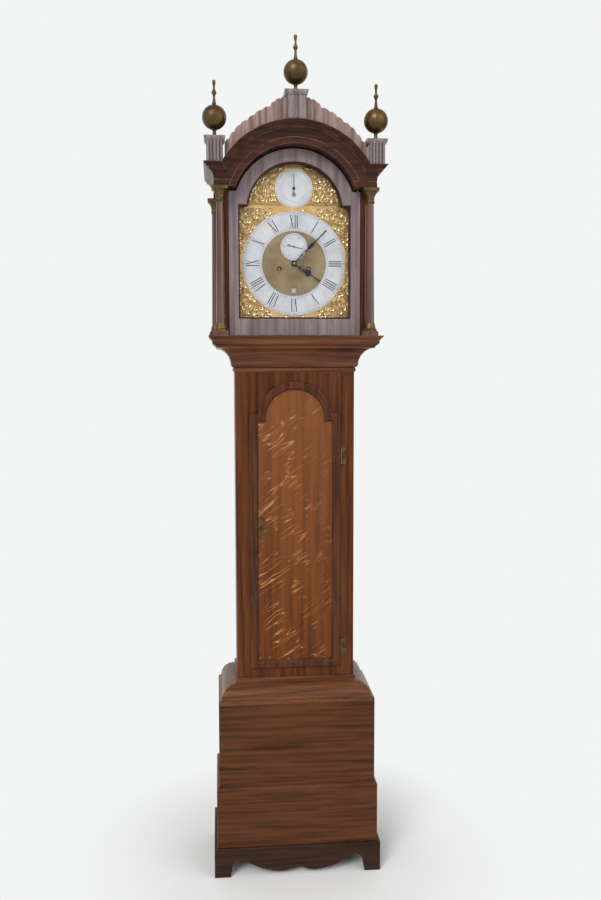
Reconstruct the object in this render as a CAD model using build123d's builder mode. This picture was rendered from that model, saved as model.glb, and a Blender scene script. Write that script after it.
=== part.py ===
from build123d import *
import os
from math import acos, atan2, cos, degrees, hypot, pi, radians, sin, sqrt

# Longcase clock in oak with an eight-day striking movement, in millimetres.
# +Z is up, the front faces -Y, and the origin is on the floor under the middle of the clock.

# Heights of the case above the floor
foot_top = 83.0
skirting_top = 253.0
base_top = 488.0
waist_height = 58.0
trunk_top = 1400.0
throat_top = 1467.0
hood_floor = 1497.0
entablature_foot = 1886.0
cornice_height = 57.0
arch_centre_z = 1829.0
arch_radius = 168.0

# Widths and depths of the case
trunk_width = 327.0
trunk_depth = 175.0
base_width = 433.0
skirting_stand = 7.5
foot_stand = 15.5
frieze_width = 433.0
hood_base_stand = 17.0
cornice_projection = 25.0

# Boards
board = 15.0
backboard_thickness = 12.0
frame_thickness = 20.0
hood_board = 12.0
roof_thickness = 6.0
fit_gap = 0.4

# Trunk door
door_half_width = 124.5
door_foot = 574.0
door_shoulder = 1287.0
door_arch_radius = 103.5
door_arch_centre = 1271.0
door_lip = 7.5
door_gap = 1.5
door_tongue = 18.5
bead_height = 8.5
bead_width = 22.0
hinge_heights = (630.0, 1169.0)
hinge_length = 46.0
knuckle_radius = 3.2
hinge_pin_radius = 1.2
keyhole_height = 970.0

# Hood door, mask and dial
hood_door_half_width = 176.5
hood_door_foot = 1500.0
hood_door_shoulder = 1880.0
hood_door_arch = 163.0
hood_door_thickness = 18.0
hood_door_stand = 14.0
sight_half_width = 149.0
sight_foot = 1546.0
sight_shoulder = 1843.5
sight_radius = 127.5
glass_thickness = 2.0
mask_thickness = 10.0
pivot_inset = 6.5
pivot_depth = 2.0
pivot_radius = 2.5
pivot_length = 8.0
dial_half_width = 152.5
dial_foot = 1541.5
dial_radius = 131.0
dial_thickness = 2.5
dial_setback = 18.0
hands_z = 1694.0
ring_radius = 140.0
ring_bore = 87.5
ring_thickness = 1.5
seconds_above = 45.0
seconds_radius = 36.0
arch_disc_z = 1894.0
arch_disc_radius = 51.0
winding_spread = 40.0
winding_below = 13.6
date_below = 72.0
date_window = 12.7

# Columns, plinths and finials
column_inset = 16.5
rear_column_x = 212.0
column_block = 41.0
column_block_height = 12.0
abacus = 43.0
column_brass_height = 21.0
capital_height = 40.0
shaft_foot_radius = 12.5
shaft_top_radius = 9.7
plinth_x = 212.0
plinth_width = 43.0
side_plinth_height = 53.0
centre_plinth_width = 50.0
centre_plinth_top = 2115.0
plinth_cap = 12.0
plinth_cap_overhang = 6.0
ball_radius = 32.0
finial_height = 145.0
cresting_thickness = 12.0

# Movement
plate_width = 172.0
plate_foot = 1619.0
plate_height = 177.0
plate_thickness = 3.0
plate_gap = 62.0
dial_to_plate = 24.0
seat_thickness = 18.0
barrel_radius = 25.0
barrel_length = 38.0
wheel_thickness = 2.0
arbor_radius = 1.6
pivot_pin = 1.0
running_gap = 0.05
great_teeth = 96
centre_pinion_teeth = 8
centre_teeth = 60
third_pinion_teeth = 8
third_teeth = 56
escape_pinion_teeth = 7
escape_teeth = 30
escape_radius = 19.0
centre_module = 0.75
third_module = 0.7
strike_teeth = 78
strike_module = 0.8
pin_pinion_teeth = 8
pin_teeth = 56
pin_module = 0.7
gathering_pinion_teeth = 7
gathering_teeth = 50
gathering_module = 0.65
fly_pinion_teeth = 7
motion_teeth = 40
motion_module = 0.8
minute_pinion_teeth = 7
hour_teeth = 84
anchor_above = 27.0
pendulum_length = 994.0
pendulum_setback = 12.0
bob_radius = 55.0
bob_thickness = 26.0
rod_radius = 3.0
weight_radius = 29.0
weight_length = 185.0
weight_z = 1050.0
bell_radius = 38.0

# Places that follow from the sizes above
trunk_half = trunk_width / 2
waist_top = base_top + waist_height
skirting_width = base_width + 2 * skirting_stand
foot_width = base_width + 2 * foot_stand
hood_base_width = frieze_width + 2 * hood_base_stand
cornice_half = frieze_width / 2 + cornice_projection
column_x = frieze_width / 2 - column_inset
widest_half = max(cornice_half, plinth_x + ball_radius)
case_back = (trunk_depth + widest_half - trunk_half) / 2
trunk_front = case_back - trunk_depth
backboard_front = case_back - backboard_thickness
cornice_top = entablature_foot + cornice_height
cornice_radius = arch_radius + cornice_height
seat_top = plate_foot
seat_foot = seat_top - seat_thickness
dial_face = trunk_front + dial_setback
dial_back = dial_face + dial_thickness
front_plate_y = dial_back + dial_to_plate
plates_inside = front_plate_y + plate_thickness
plates_end = plates_inside + plate_gap
back_plate_back = plates_end + plate_thickness
hood_door_front = trunk_front - hood_door_stand
hood_door_back = hood_door_front + hood_door_thickness
hood_half = hood_door_half_width + 2.0 + hood_board
winding_z = hands_z - winding_below
escape_z = hands_z + seconds_above
anchor_z = escape_z + anchor_above
great_distance = hypot(winding_spread, winding_below)
great_module = great_distance * 2 / (great_teeth + centre_pinion_teeth)


def front_of(half_width):
    """Depth of a tier's front face: each tier stands out as far in front as at the sides."""
    return trunk_front - (half_width - trunk_half)


def facing(y):
    """A drawing plane at depth y that faces the front, with +X right and +Z up."""
    return Plane.XZ.offset(-y)


def break_arch(half_width, foot, shoulder, radius, centre_z=arch_centre_z):
    """A rectangle with a round arch between its two shoulders, as a sketch to add."""
    half_chord = sqrt(radius**2 - (shoulder - centre_z) ** 2)
    with BuildSketch() as shape:
        with BuildLine():
            sides = Polyline(
                (half_chord, shoulder),
                (half_width, shoulder),
                (half_width, foot),
                (-half_width, foot),
                (-half_width, shoulder),
                (-half_chord, shoulder),
            )
            ThreePointArc(sides @ 1, (0, centre_z + radius), sides @ 0)
        make_face()
    return shape.sketch


def arched_board(half_width, foot, radius, centre_z=arch_centre_z):
    """A rectangle whose whole top is a round arch, as a sketch to add."""
    spring = centre_z + sqrt(radius**2 - half_width**2)
    with BuildSketch() as shape:
        with BuildLine():
            sides = Polyline(
                (half_width, spring), (half_width, foot), (-half_width, foot), (-half_width, spring)
            )
            ThreePointArc(sides @ 1, (0, centre_z + radius), sides @ 0)
        make_face()
    return shape.sketch


def quarter_curve(start, end, round_out):
    """Points along a quarter ellipse between two profile points, hollow or rounded out."""
    points = []
    steps = 5
    for step in range(1, steps):
        turn = pi / 2 * step / steps
        across, along = (sin(turn), 1 - cos(turn)) if round_out else (1 - cos(turn), sin(turn))
        points.append((start[0] + (end[0] - start[0]) * across, start[1] + (end[1] - start[1]) * along))
    return [start] + points + [end]


def mouldings(name, inner_half_width, profiles, depth_end=case_back, bore=None):
    """Mouldings round the front and both sides of the case, each in three mitred lengths.

    A profile's points are half-width and height, and its back is a straight face. A bore is the
    mouth of a pivot's hole in the top.
    """
    with BuildPart() as builder:
        for profile in profiles:
            half_width = max(point[0] for point in profile)
            front = front_of(half_width)
            with BuildLine() as path:
                Polyline(
                    (-half_width, depth_end, 0),
                    (-half_width, front, 0),
                    (half_width, front, 0),
                    (half_width, depth_end, 0),
                )
            section_plane = Plane(origin=(-half_width, depth_end, 0), x_dir=(-1, 0, 0), z_dir=(0, 1, 0))
            with BuildSketch(section_plane) as section:
                outline = [(w - half_width, z) for w, z in profile]
                back = inner_half_width - half_width
                with BuildLine():
                    Polyline(outline + [(back, outline[-1][1]), (back, outline[0][1])], close=True)
                make_face()
            sweep(sections=section.sketch, path=path.line, transition=Transition.RIGHT)
        for side in (-1, 1):
            mitre = Plane(origin=(side * trunk_half, trunk_front, 0), z_dir=(1, side, 0))
            split(bisect_by=mitre, keep=Keep.BOTH)
        if bore:
            with Locations(bore):
                Hole(pivot_radius + running_gap, depth=pivot_length)
    save(builder, name)


def toothed(teeth, module, phase=0.0):
    """A wheel's outline with pointed teeth about the origin, as a sketch to add."""
    pitch_radius = teeth * module / 2
    reaches = ((pitch_radius + 0.7 * module, 0.0), (pitch_radius - 1.15 * module, 0.5))
    with BuildSketch() as shape:
        with BuildLine():
            points = []
            for tooth in range(teeth):
                for radius, shift in reaches:
                    angle = 2 * pi * (tooth + shift + phase) / teeth
                    points.append((radius * cos(angle), radius * sin(angle)))
            Polyline(points, close=True)
        make_face()
    return shape.sketch


def save(builder, name):
    """Labels a finished piece and writes it."""
    builder.part.label = name
    export_step(builder.part, f"parts/{name}.step")


def bar(x, z, y_from, y_to, radius, mode=Mode.ADD):
    """A round bar along the clock's depth, added to the open part."""
    with Locations((x, y_to, z)):
        Cylinder(
            radius,
            y_to - y_from,
            rotation=(90, 0, 0),
            align=(Align.CENTER, Align.CENTER, Align.MIN),
            mode=mode,
        )


def mesh_phase(teeth, place, driver_teeth, driver_phase, driver_place):
    """Phase that sets a wheel's teeth between those of the wheel that drives it."""
    direction = atan2(place[1] - driver_place[1], place[0] - driver_place[0])
    driver_pitch = direction * driver_teeth / (2 * pi) - driver_phase
    return (direction + pi) * teeth / (2 * pi) - 0.5 + driver_pitch


def towards(place, distance, angle):
    """The point at a distance and an angle in degrees from a place, seen from the front."""
    return (place[0] + distance * cos(radians(angle)), place[1] + distance * sin(radians(angle)))


def arbor_with_wheel(name, place, wheel, pinion=None, reach=None, spokes=4, extras=()):
    """One arbor of the train: its wheel, its pinion, pivots in the plates and any further bars.

    A wheel or pinion is its teeth, module, phase and the depths between which it lies.
    """
    x, z = place
    with BuildPart() as builder:
        for gear in (wheel, pinion):
            if gear:
                teeth, module, phase, y_from, y_to = gear
                with BuildSketch(Plane(origin=(x, y_to, z), x_dir=(1, 0, 0), z_dir=(0, -1, 0))):
                    add(toothed(teeth, module, phase))
                    if gear is wheel and spokes:
                        rim = teeth * module / 2 - 3.2 * module
                        hub = 0.32 * rim
                        with PolarLocations((rim + hub) / 2, spokes, start_angle=45):
                            Circle(0.48 * (rim - hub), mode=Mode.SUBTRACT)
                extrude(amount=y_to - y_from)
        start, end = reach or (plates_inside + fit_gap, plates_end - fit_gap)
        bar(x, z, start, end, arbor_radius)
        if reach is None:
            bar(x, z, front_plate_y, back_plate_back, pivot_pin)
        for y_from, y_to, radius in extras:
            bar(x, z, y_from, y_to, radius)
    save(builder, name)


os.makedirs("parts", exist_ok=True)

# Case: the backboard runs from the feet to the arch of the hood, wider behind base and hood
backboard_foot = 12.0
hood_inside = hood_half - hood_board
backboard_arch = cornice_radius - roof_thickness - 3.0
with BuildPart() as backboard:
    with BuildSketch(facing(case_back)):
        with Locations((0, (backboard_foot + cornice_top) / 2)):
            Rectangle(trunk_width, cornice_top - backboard_foot - 3.0)
        with Locations((0, (backboard_foot + base_top) / 2)):
            Rectangle(base_width - 2.0, base_top - backboard_foot)
        add(arched_board(hood_inside - 1.0, hood_floor + 1.0, backboard_arch))
    extrude(amount=backboard_thickness)
save(backboard, "backboard")

# Trunk sides rise through the throat as the cheeks that carry the movement's seat
cheek_foot = 440.0
cheek_front = trunk_front + frame_thickness
seat_front = front_plate_y - 6.0
with BuildPart() as trunk_sides:
    with BuildSketch(Plane.XY.offset(cheek_foot)):
        for side in (-1, 1):
            with Locations((side * (trunk_half - board / 2), (cheek_front + backboard_front) / 2)):
                Rectangle(board, backboard_front - cheek_front)
    extrude(amount=throat_top - cheek_foot)
    with BuildSketch(Plane.XY.offset(throat_top)):
        for side in (-1, 1):
            with Locations((side * (trunk_half - board / 2), (seat_front + backboard_front) / 2)):
                Rectangle(board, backboard_front - seat_front)
    extrude(amount=seat_foot - throat_top)
save(trunk_sides, "trunk_sides")

# Trunk front: two stiles and two rails round the door's opening, arched at the top
opening_inset = door_lip
with BuildPart() as trunk_front_frame:
    with BuildSketch(facing(cheek_front)):
        with Locations((0, (cheek_foot + throat_top) / 2)):
            Rectangle(trunk_width, throat_top - cheek_foot)
        opening = break_arch(
            door_half_width - opening_inset,
            door_foot + opening_inset,
            door_shoulder - opening_inset,
            door_arch_radius - opening_inset,
            door_arch_centre,
        )
        add(opening, mode=Mode.SUBTRACT)
    extrude(amount=frame_thickness)
save(trunk_front_frame, "trunk_front")

# Waist moulding steps in from the base to the trunk
waist_rise = waist_top - base_top
base_half = base_width / 2
waist_profile = (
    [(base_half, base_top), (base_half, base_top + 0.12 * waist_rise)]
    + [(base_half - 5.0, base_top + 0.16 * waist_rise)]
    + quarter_curve((base_half - 8.0, base_top + 0.2 * waist_rise), (trunk_half + 8.0, waist_top - 12.0), False)
    + [(trunk_half + 5.0, waist_top - 12.0), (trunk_half + 5.0, waist_top)]
)
mouldings("waist_moulding", trunk_half, [waist_profile])

# Astragal at the top of the trunk, and the hollow throat moulding that carries the hood
astragal_rise = 13.0
throat_half = 213.0
astragal_profile = [
    (trunk_half + 1.0, trunk_top),
    (trunk_half + 3.5, trunk_top + 0.25 * astragal_rise),
    (trunk_half + 4.5, trunk_top + 0.5 * astragal_rise),
    (trunk_half + 3.5, trunk_top + 0.75 * astragal_rise),
    (trunk_half + 1.0, trunk_top + astragal_rise),
]
throat_foot = trunk_top + astragal_rise
throat_profile = (
    [(trunk_half + 5.0, throat_foot), (trunk_half + 8.0, throat_foot + 4.0)]
    + quarter_curve((trunk_half + 9.0, throat_foot + 4.0), (throat_half, throat_top - 2.0), False)
    + [(throat_half, throat_top)]
)
mouldings("throat_mouldings", trunk_half, [astragal_profile, throat_profile])

# Base: a front panel between two sides, cased below by the skirting boards and the bracket feet
panel_foot = foot_top - 23.0
mouldings("base_boards", base_half - board, [[(base_half, panel_foot), (base_half, base_top)]], backboard_front)
skirting_half = skirting_width / 2
skirting_profile = [
    (skirting_half, foot_top),
    (skirting_half, skirting_top - 5.0),
    (skirting_half - 2.0, skirting_top - 1.5),
    (skirting_half - 4.0, skirting_top),
]
mouldings("base_skirting", base_half, [skirting_profile])

# Bracket feet: the plinth's lower edge is sawn to a double ogee between the feet
foot_half = foot_width / 2
foot_reach = 44.0
ogee_top = 51.0
ogee_low = 12.0
cusp_z = 29.0
plinth_inside = base_half


def apron_opening(reach):
    """The opening sawn under a plinth board, reach to each side of its middle, as a sketch to add."""
    with BuildSketch() as shape:
        with BuildLine():
            shoulder = Spline(
                (-0.97 * reach, 0.68 * ogee_top),
                (-0.87 * reach, ogee_top),
                (-0.7 * reach, 0.72 * ogee_top),
                (-0.42 * reach, ogee_low + 4.0),
                (-0.27 * reach, ogee_low),
            )
            cusp = Spline(shoulder @ 1, (-0.12 * reach, ogee_low + 4.0), (0, cusp_z))
            Polyline(cusp @ 1, (0, -1), (-reach, -1), shoulder @ 0)
        make_face()
        mirror(about=Plane.YZ)
    return shape.sketch


plinth_depth = case_back - front_of(foot_half)
with BuildPart() as bracket_feet:
    with BuildSketch():
        for half_width, operation in ((foot_half, Mode.ADD), (plinth_inside, Mode.SUBTRACT)):
            with Locations((0, case_back)):
                Rectangle(
                    2 * half_width,
                    case_back - front_of(half_width),
                    align=(Align.CENTER, Align.MAX),
                    mode=operation,
                )
    extrude(amount=foot_top)
    with BuildSketch(facing(case_back)):
        add(apron_opening(foot_half - foot_reach))
    extrude(amount=plinth_depth + 1.0, mode=Mode.SUBTRACT)
    with BuildSketch(Plane.YZ.offset(-foot_half - 1.0)):
        with Locations((case_back - plinth_depth / 2, 0)):
            add(apron_opening(plinth_depth / 2 - foot_reach))
    extrude(amount=foot_width + 2.0, mode=Mode.SUBTRACT)
save(bracket_feet, "bracket_feet")

# Seat board across the cheeks, slotted for the lines, the pendulum and its crutch
pendulum_y = back_plate_back + pendulum_setback
line_slot = 12.0
with BuildPart() as seatboard:
    with BuildSketch(Plane.XY.offset(seat_foot)):
        with Locations((0, (seat_front + backboard_front) / 2)):
            Rectangle(trunk_width, backboard_front - seat_front)
        with Locations((0, pendulum_y)):
            SlotOverall(90.0, 20.0, mode=Mode.SUBTRACT)
        for side in (-1, 1):
            for reach in (-barrel_radius, barrel_radius):
                with Locations((side * winding_spread + reach, (plates_inside + plates_end) / 2)):
                    SlotOverall(plate_gap - 8.0, line_slot, rotation=90, mode=Mode.SUBTRACT)
    extrude(amount=seat_thickness)
save(seatboard, "seatboard")

# Trunk door: a figured panel with a tongue inside the frame and a planted bead that laps it
door_back = trunk_front - 0.5 + door_tongue
tongue_inset = door_lip + door_gap
hinge_x = door_half_width + fit_gap + knuckle_radius
hinge_y = trunk_front - knuckle_radius - 0.8
lock_x = -93.5
keyhole_radius = 2.5
with BuildPart() as trunk_door:
    with BuildSketch(facing(door_back)):
        tongue = break_arch(
            door_half_width - tongue_inset,
            door_foot + tongue_inset,
            door_shoulder - tongue_inset,
            door_arch_radius - tongue_inset,
            door_arch_centre,
        )
        add(tongue)
        with Locations((lock_x, keyhole_height)):
            Circle(keyhole_radius, mode=Mode.SUBTRACT)
    extrude(amount=door_tongue)
save(trunk_door, "trunk_door")

with BuildPart() as trunk_door_bead:
    with BuildSketch(facing(trunk_front - 0.5)):
        outer = break_arch(door_half_width, door_foot, door_shoulder, door_arch_radius, door_arch_centre)
        inner = break_arch(
            door_half_width - bead_width,
            door_foot + bead_width,
            door_shoulder - bead_width,
            door_arch_radius - bead_width,
            door_arch_centre,
        )
        add(outer)
        add(inner, mode=Mode.SUBTRACT)
    extrude(amount=bead_height)
    bead_face = trunk_door_bead.faces().sort_by(Axis.Y)[0]
    chamfer(bead_face.inner_wires()[0].edges(), 0.6 * bead_height)
    chamfer(bead_face.outer_wire().edges(), 0.3 * bead_height)
save(trunk_door_bead, "trunk_door_bead")

# Two brass butts: the posts are let into the frame, the leaves lie along the bead's edge
leaf_thickness = 1.2
with BuildPart() as trunk_frame_hinges:
    for height in hinge_heights:
        with BuildSketch(Plane.XY.offset(height - hinge_length / 2)):
            with Locations((hinge_x, hinge_y)):
                Circle(hinge_pin_radius)
        extrude(amount=hinge_length)
        for foot in (height - hinge_length / 2, height + hinge_length / 6):
            with BuildSketch(Plane.XY.offset(foot)):
                with Locations((hinge_x, hinge_y)):
                    Circle(knuckle_radius)
                with Locations((hinge_x + 5.0, trunk_front - leaf_thickness / 2)):
                    Rectangle(10.0 + 2 * knuckle_radius, leaf_thickness)
            extrude(amount=hinge_length / 3)
save(trunk_frame_hinges, "trunk_frame_hinges")

with BuildPart() as trunk_door_hinges:
    for height in hinge_heights:
        with BuildSketch(Plane.XY.offset(height - hinge_length / 6 + fit_gap)):
            with Locations((hinge_x, hinge_y)):
                Circle(knuckle_radius)
                Circle(hinge_pin_radius + running_gap, mode=Mode.SUBTRACT)
            with Locations((door_half_width + fit_gap / 2 + 0.3, hinge_y)):
                Rectangle(fit_gap + 0.6, 2 * knuckle_radius - 1.0)
        extrude(amount=hinge_length / 3 - 2 * fit_gap)
save(trunk_door_hinges, "trunk_door_hinges")

# Lock on the back of the door, its bolt and the brass escutcheon round the keyhole
lock_width = 42.0
lock_height = 60.0
lock_depth = 12.0
lock_wall = 2.0
bolt_height = 12.0
bolt_travel = 12.0
lock_inset = 3.0
lock_left = -door_half_width + tongue_inset + lock_inset
with BuildPart() as trunk_door_lock:
    with Locations((lock_left + lock_width / 2, door_back, keyhole_height)):
        Box(lock_width, lock_depth, lock_height, align=(Align.CENTER, Align.MIN, Align.CENTER))
    with Locations((lock_left + lock_width / 2, door_back + lock_depth / 2, keyhole_height + 18.0)):
        Box(lock_width + 1.0, lock_depth - 2 * lock_wall, bolt_height + 2 * fit_gap, mode=Mode.SUBTRACT)
save(trunk_door_lock, "trunk_door_lock")

bolt_length = lock_width - bolt_travel - 3.0
with BuildPart() as trunk_lock_bolt:
    with Locations((lock_left + 1.0, door_back + lock_depth / 2, keyhole_height + 18.0)):
        Box(
            bolt_length,
            lock_depth - 2 * lock_wall - 2 * fit_gap,
            bolt_height,
            align=(Align.MIN, Align.CENTER, Align.CENTER),
        )
save(trunk_lock_bolt, "trunk_lock_bolt")

escutcheon_height = 60.0
escutcheon_width = 17.0
with BuildPart() as escutcheon:
    with BuildSketch(facing(trunk_front - 0.5)):
        with Locations((lock_x, keyhole_height)):
            SlotOverall(escutcheon_height, escutcheon_width, rotation=90)
            Circle(keyhole_radius + 1.0, mode=Mode.SUBTRACT)
    extrude(amount=1.6)
save(escutcheon, "escutcheon")

# Hood base: the moulded frame that slides on the throat, open at the back
hood_base_half = hood_base_width / 2
hood_base_foot = throat_top + fit_gap
hood_base_profile = [
    (hood_base_half - 20.0, hood_base_foot),
    (hood_base_half - 19.0, hood_base_foot + 2.0),
    (hood_base_half - 10.0, hood_base_foot + 9.0),
    (hood_base_half - 10.0, hood_base_foot + 17.0),
    (hood_base_half - 7.0, hood_base_foot + 20.0),
    (hood_base_half, hood_floor - 2.0),
    (hood_base_half, hood_floor),
]
pivot_x = hood_door_half_width - pivot_inset
pivot_y = hood_door_front + pivot_depth
mouldings("hood_base", trunk_half + 2 * fit_gap, [hood_base_profile], bore=(pivot_x, pivot_y, hood_floor))

# Hood sides stand on the base frame behind the columns
hood_top_inside = cornice_top - roof_thickness
with BuildPart() as hood_sides:
    with BuildSketch(Plane.XY.offset(hood_floor)):
        for side in (-1, 1):
            with Locations((side * (hood_half - hood_board / 2), (hood_door_front + case_back) / 2)):
                Rectangle(hood_board, case_back - hood_door_front)
    extrude(amount=hood_top_inside - hood_floor)
save(hood_sides, "hood_sides")

# Mask: the framed board behind the hood door that borders the dial
mask_front = hood_door_back + pivot_depth
mask_lap = 1.0
mask_back = mask_front + mask_thickness
roof_inside_radius = cornice_radius - roof_thickness
with BuildPart() as hood_mask:
    with BuildSketch(facing(mask_back)):
        add(arched_board(hood_inside, hood_floor, roof_inside_radius))
        opening = break_arch(
            sight_half_width - mask_lap,
            sight_foot + mask_lap,
            sight_shoulder - mask_lap,
            sight_radius - mask_lap,
        )
        add(opening, mode=Mode.SUBTRACT)
    extrude(amount=mask_thickness)
save(hood_mask, "hood_mask")

# Entablature: a frieze board cut to a break arch, and the cornice planted round it
frieze_half = frieze_width / 2
frieze_front = front_of(hood_half)
frieze_back = hood_door_front + 2 * pivot_radius + 3.0
with BuildPart() as hood_frieze:
    with BuildSketch(facing(frieze_back)):
        add(arched_board(hood_inside, entablature_foot, roof_inside_radius))
        with Locations((0, arch_centre_z)):
            Circle(arch_radius, mode=Mode.SUBTRACT)
    extrude(amount=frieze_back - frieze_front)
    with Locations(Plane.XY.offset(entablature_foot)):
        with Locations((pivot_x, pivot_y)):
            Hole(pivot_radius + running_gap, depth=pivot_length)
save(hood_frieze, "hood_frieze")

step_up = cornice_height
cornice_steps = (
    [(0.0, 0.0), (0.28 * step_up, -1.0)]
    + quarter_curve((0.29 * step_up, -0.5), (0.68 * step_up, 0.4 * cornice_projection), True)
    + [(0.78 * step_up, 0.5 * cornice_projection), (0.8 * step_up, 0.65 * cornice_projection)]
    + [(0.98 * step_up, cornice_projection), (step_up, cornice_projection)]
)
tall = 2.2 * cornice_height + cornice_radius - arch_radius
frieze_stand = trunk_front - front_of(frieze_half)
with BuildPart() as cornice_arch:
    with BuildSketch(Plane.YZ):
        with BuildLine():
            section = [(trunk_front - frieze_stand - out, arch_radius + up) for up, out in cornice_steps]
            ends = [(section[-1][0], arch_radius + tall), (case_back, arch_radius + tall), (case_back, arch_radius)]
            Polyline(section + ends, close=True)
        make_face()
    revolve(axis=Axis.Y, revolution_arc=360)
arch_body = Pos(0, 0, arch_centre_z) * cornice_arch.part
with BuildPart() as hood_cornice:
    with BuildLine() as cornice_path:
        Polyline(
            (-cornice_half, case_back, 0),
            (-cornice_half, front_of(cornice_half), 0),
            (cornice_half, front_of(cornice_half), 0),
            (cornice_half, case_back, 0),
        )
    path_start = Plane(origin=(-cornice_half, case_back, 0), x_dir=(-1, 0, 0), z_dir=(0, 1, 0))
    with BuildSketch(path_start) as cornice_section:
        with BuildLine():
            outline = [(out - cornice_projection, entablature_foot + up) for up, out in cornice_steps]
            inner = hood_half - cornice_half
            ends = [(0, entablature_foot + tall), (inner, entablature_foot + tall), (inner, entablature_foot)]
            Polyline(outline + ends, close=True)
        make_face()
    sweep(sections=cornice_section.sketch, path=cornice_path.line, transition=Transition.RIGHT)
    add(arch_body, mode=Mode.INTERSECT)
    with BuildSketch(facing(case_back)) as outer_edge:
        add(break_arch(cornice_half + 1.0, entablature_foot, cornice_top, cornice_radius))
    extrude(amount=2 * trunk_depth, mode=Mode.INTERSECT)
save(hood_cornice, "hood_cornice")

# Roof: thin boards bent over the arch, with a narrow flat above each side
with BuildPart() as hood_roof:
    with BuildSketch(facing(case_back)):
        with Locations((0, arch_centre_z)):
            Circle(cornice_radius)
        with Locations((0, hood_top_inside)):
            Rectangle(2 * hood_half, cornice_radius, align=(Align.CENTER, Align.MIN), mode=Mode.INTERSECT)
        with Locations((0, hood_top_inside)):
            Rectangle(2 * hood_half, roof_thickness, align=(Align.CENTER, Align.MIN))
        with Locations((0, arch_centre_z)):
            Circle(roof_inside_radius, mode=Mode.SUBTRACT)
    extrude(amount=case_back - frieze_front)
save(hood_roof, "hood_roof")

# Plinths for the finials: reeded blocks at the shoulders and a plain block on the arch
plinth_y = front_of(plinth_x)
side_plinth_top = cornice_top + side_plinth_height
reed_count = 5
reed_pitch = plinth_width / (reed_count + 1)
with BuildPart() as finial_plinths:
    for x, width, foot, top in (
        (-plinth_x, plinth_width, cornice_top, side_plinth_top),
        (plinth_x, plinth_width, cornice_top, side_plinth_top),
        (0, centre_plinth_width, arch_centre_z + 0.9 * cornice_radius, centre_plinth_top),
    ):
        with BuildSketch(Plane.XY.offset(foot)):
            with Locations((x, plinth_y)):
                Rectangle(width, width)
        extrude(amount=top - foot)
        with BuildSketch(Plane.XY.offset(top)):
            with Locations((x, plinth_y)):
                Rectangle(width + plinth_cap_overhang, width + plinth_cap_overhang)
        with BuildSketch(Plane.XY.offset(top + plinth_cap / 2)):
            with Locations((x, plinth_y)):
                Rectangle(width + 2 * plinth_cap_overhang, width + 2 * plinth_cap_overhang)
        loft()
        with BuildSketch(Plane.XY.offset(top + plinth_cap / 2)):
            with Locations((x, plinth_y)):
                Rectangle(width + 2 * plinth_cap_overhang, width + 2 * plinth_cap_overhang)
        extrude(amount=plinth_cap / 2)
    with BuildSketch(Plane.XY.offset(cornice_top + 5.0)):
        for side in (-1, 1):
            with Locations((side * plinth_x, plinth_y - plinth_width / 2)):
                with GridLocations(reed_pitch, 0, reed_count + 1, 1):
                    Rectangle(0.3 * reed_pitch, 1.6)
    extrude(amount=side_plinth_height - 10.0, mode=Mode.SUBTRACT)
    with BuildSketch(facing(case_back)):
        with Locations((0, arch_centre_z)):
            Circle(cornice_radius)
    extrude(amount=2 * trunk_depth, mode=Mode.SUBTRACT)
save(finial_plinths, "finial_plinths")

# Cresting: two stepped and scalloped boards that climb the arch from side to centre plinth
cresting_top = centre_plinth_top - 6.0
cresting_steps = 4
with BuildPart() as cresting_board:
    with BuildSketch(facing(plinth_y + cresting_thickness / 2)):
        inner = centre_plinth_width / 2
        outer = plinth_x - plinth_width / 2 - plinth_cap_overhang - fit_gap
        low = side_plinth_top + 17.0
        climb = (cresting_top - low) / cresting_steps
        run = (outer - inner) / (cresting_steps + 1)
        with BuildLine():
            corner = (inner, cresting_top)
            for step in range(cresting_steps):
                x = inner + run * (step + 1)
                z = cresting_top - climb * step
                Line(corner, (x - 0.35 * run, z))
                ThreePointArc((x - 0.35 * run, z), (x - 0.05 * run, z - 0.35 * climb), (x + 0.1 * run, z - climb))
                corner = (x + 0.1 * run, z - climb)
            Polyline(corner, (outer, low), (outer, cornice_top), (inner, cornice_top), (inner, cresting_top))
        make_face()
        mirror(about=Plane.YZ)
        with Locations((0, arch_centre_z)):
            Circle(cornice_radius, mode=Mode.SUBTRACT)
    extrude(amount=cresting_thickness)
save(cresting_board, "cresting_board")

# Finials: cast brass balls with a waisted foot and a tapering knopped spire, in one casting each
ball_z = 55.0
neck_radius = 7.0
with BuildPart() as finials:
    for x, foot in (
        (-plinth_x, side_plinth_top + plinth_cap),
        (0, centre_plinth_top + plinth_cap),
        (plinth_x, side_plinth_top + plinth_cap),
    ):
        with BuildSketch(Plane(origin=(x, plinth_y, foot), x_dir=(1, 0, 0), z_dir=(0, -1, 0))):
            with BuildLine():
                angle = acos((neck_radius + 2.0) / ball_radius)
                low = ball_z - ball_radius * sin(angle)
                high = ball_z + ball_radius * sin(angle)
                Polyline((0, 0), (17.0, 0), (17.0, 4.0), (10.0, 8.0), (neck_radius, 14.0), (neck_radius + 2.0, low))
                ThreePointArc((neck_radius + 2.0, low), (ball_radius, ball_z), (neck_radius + 2.0, high))
                Polyline(
                    (neck_radius + 2.0, high),
                    (6.0, high + 6.0),
                    (8.5, high + 12.0),
                    (4.0, high + 18.0),
                    (5.5, finial_height - 36.0),
                    (2.6, finial_height - 30.0),
                    (3.6, finial_height - 13.0),
                    (1.2, finial_height - 4.0),
                    (0, finial_height),
                    (0, 0),
                )
            make_face()
        revolve(axis=Axis((x, plinth_y, 0), (0, 0, 1)), revolution_arc=360)
save(finials, "finials")

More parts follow.
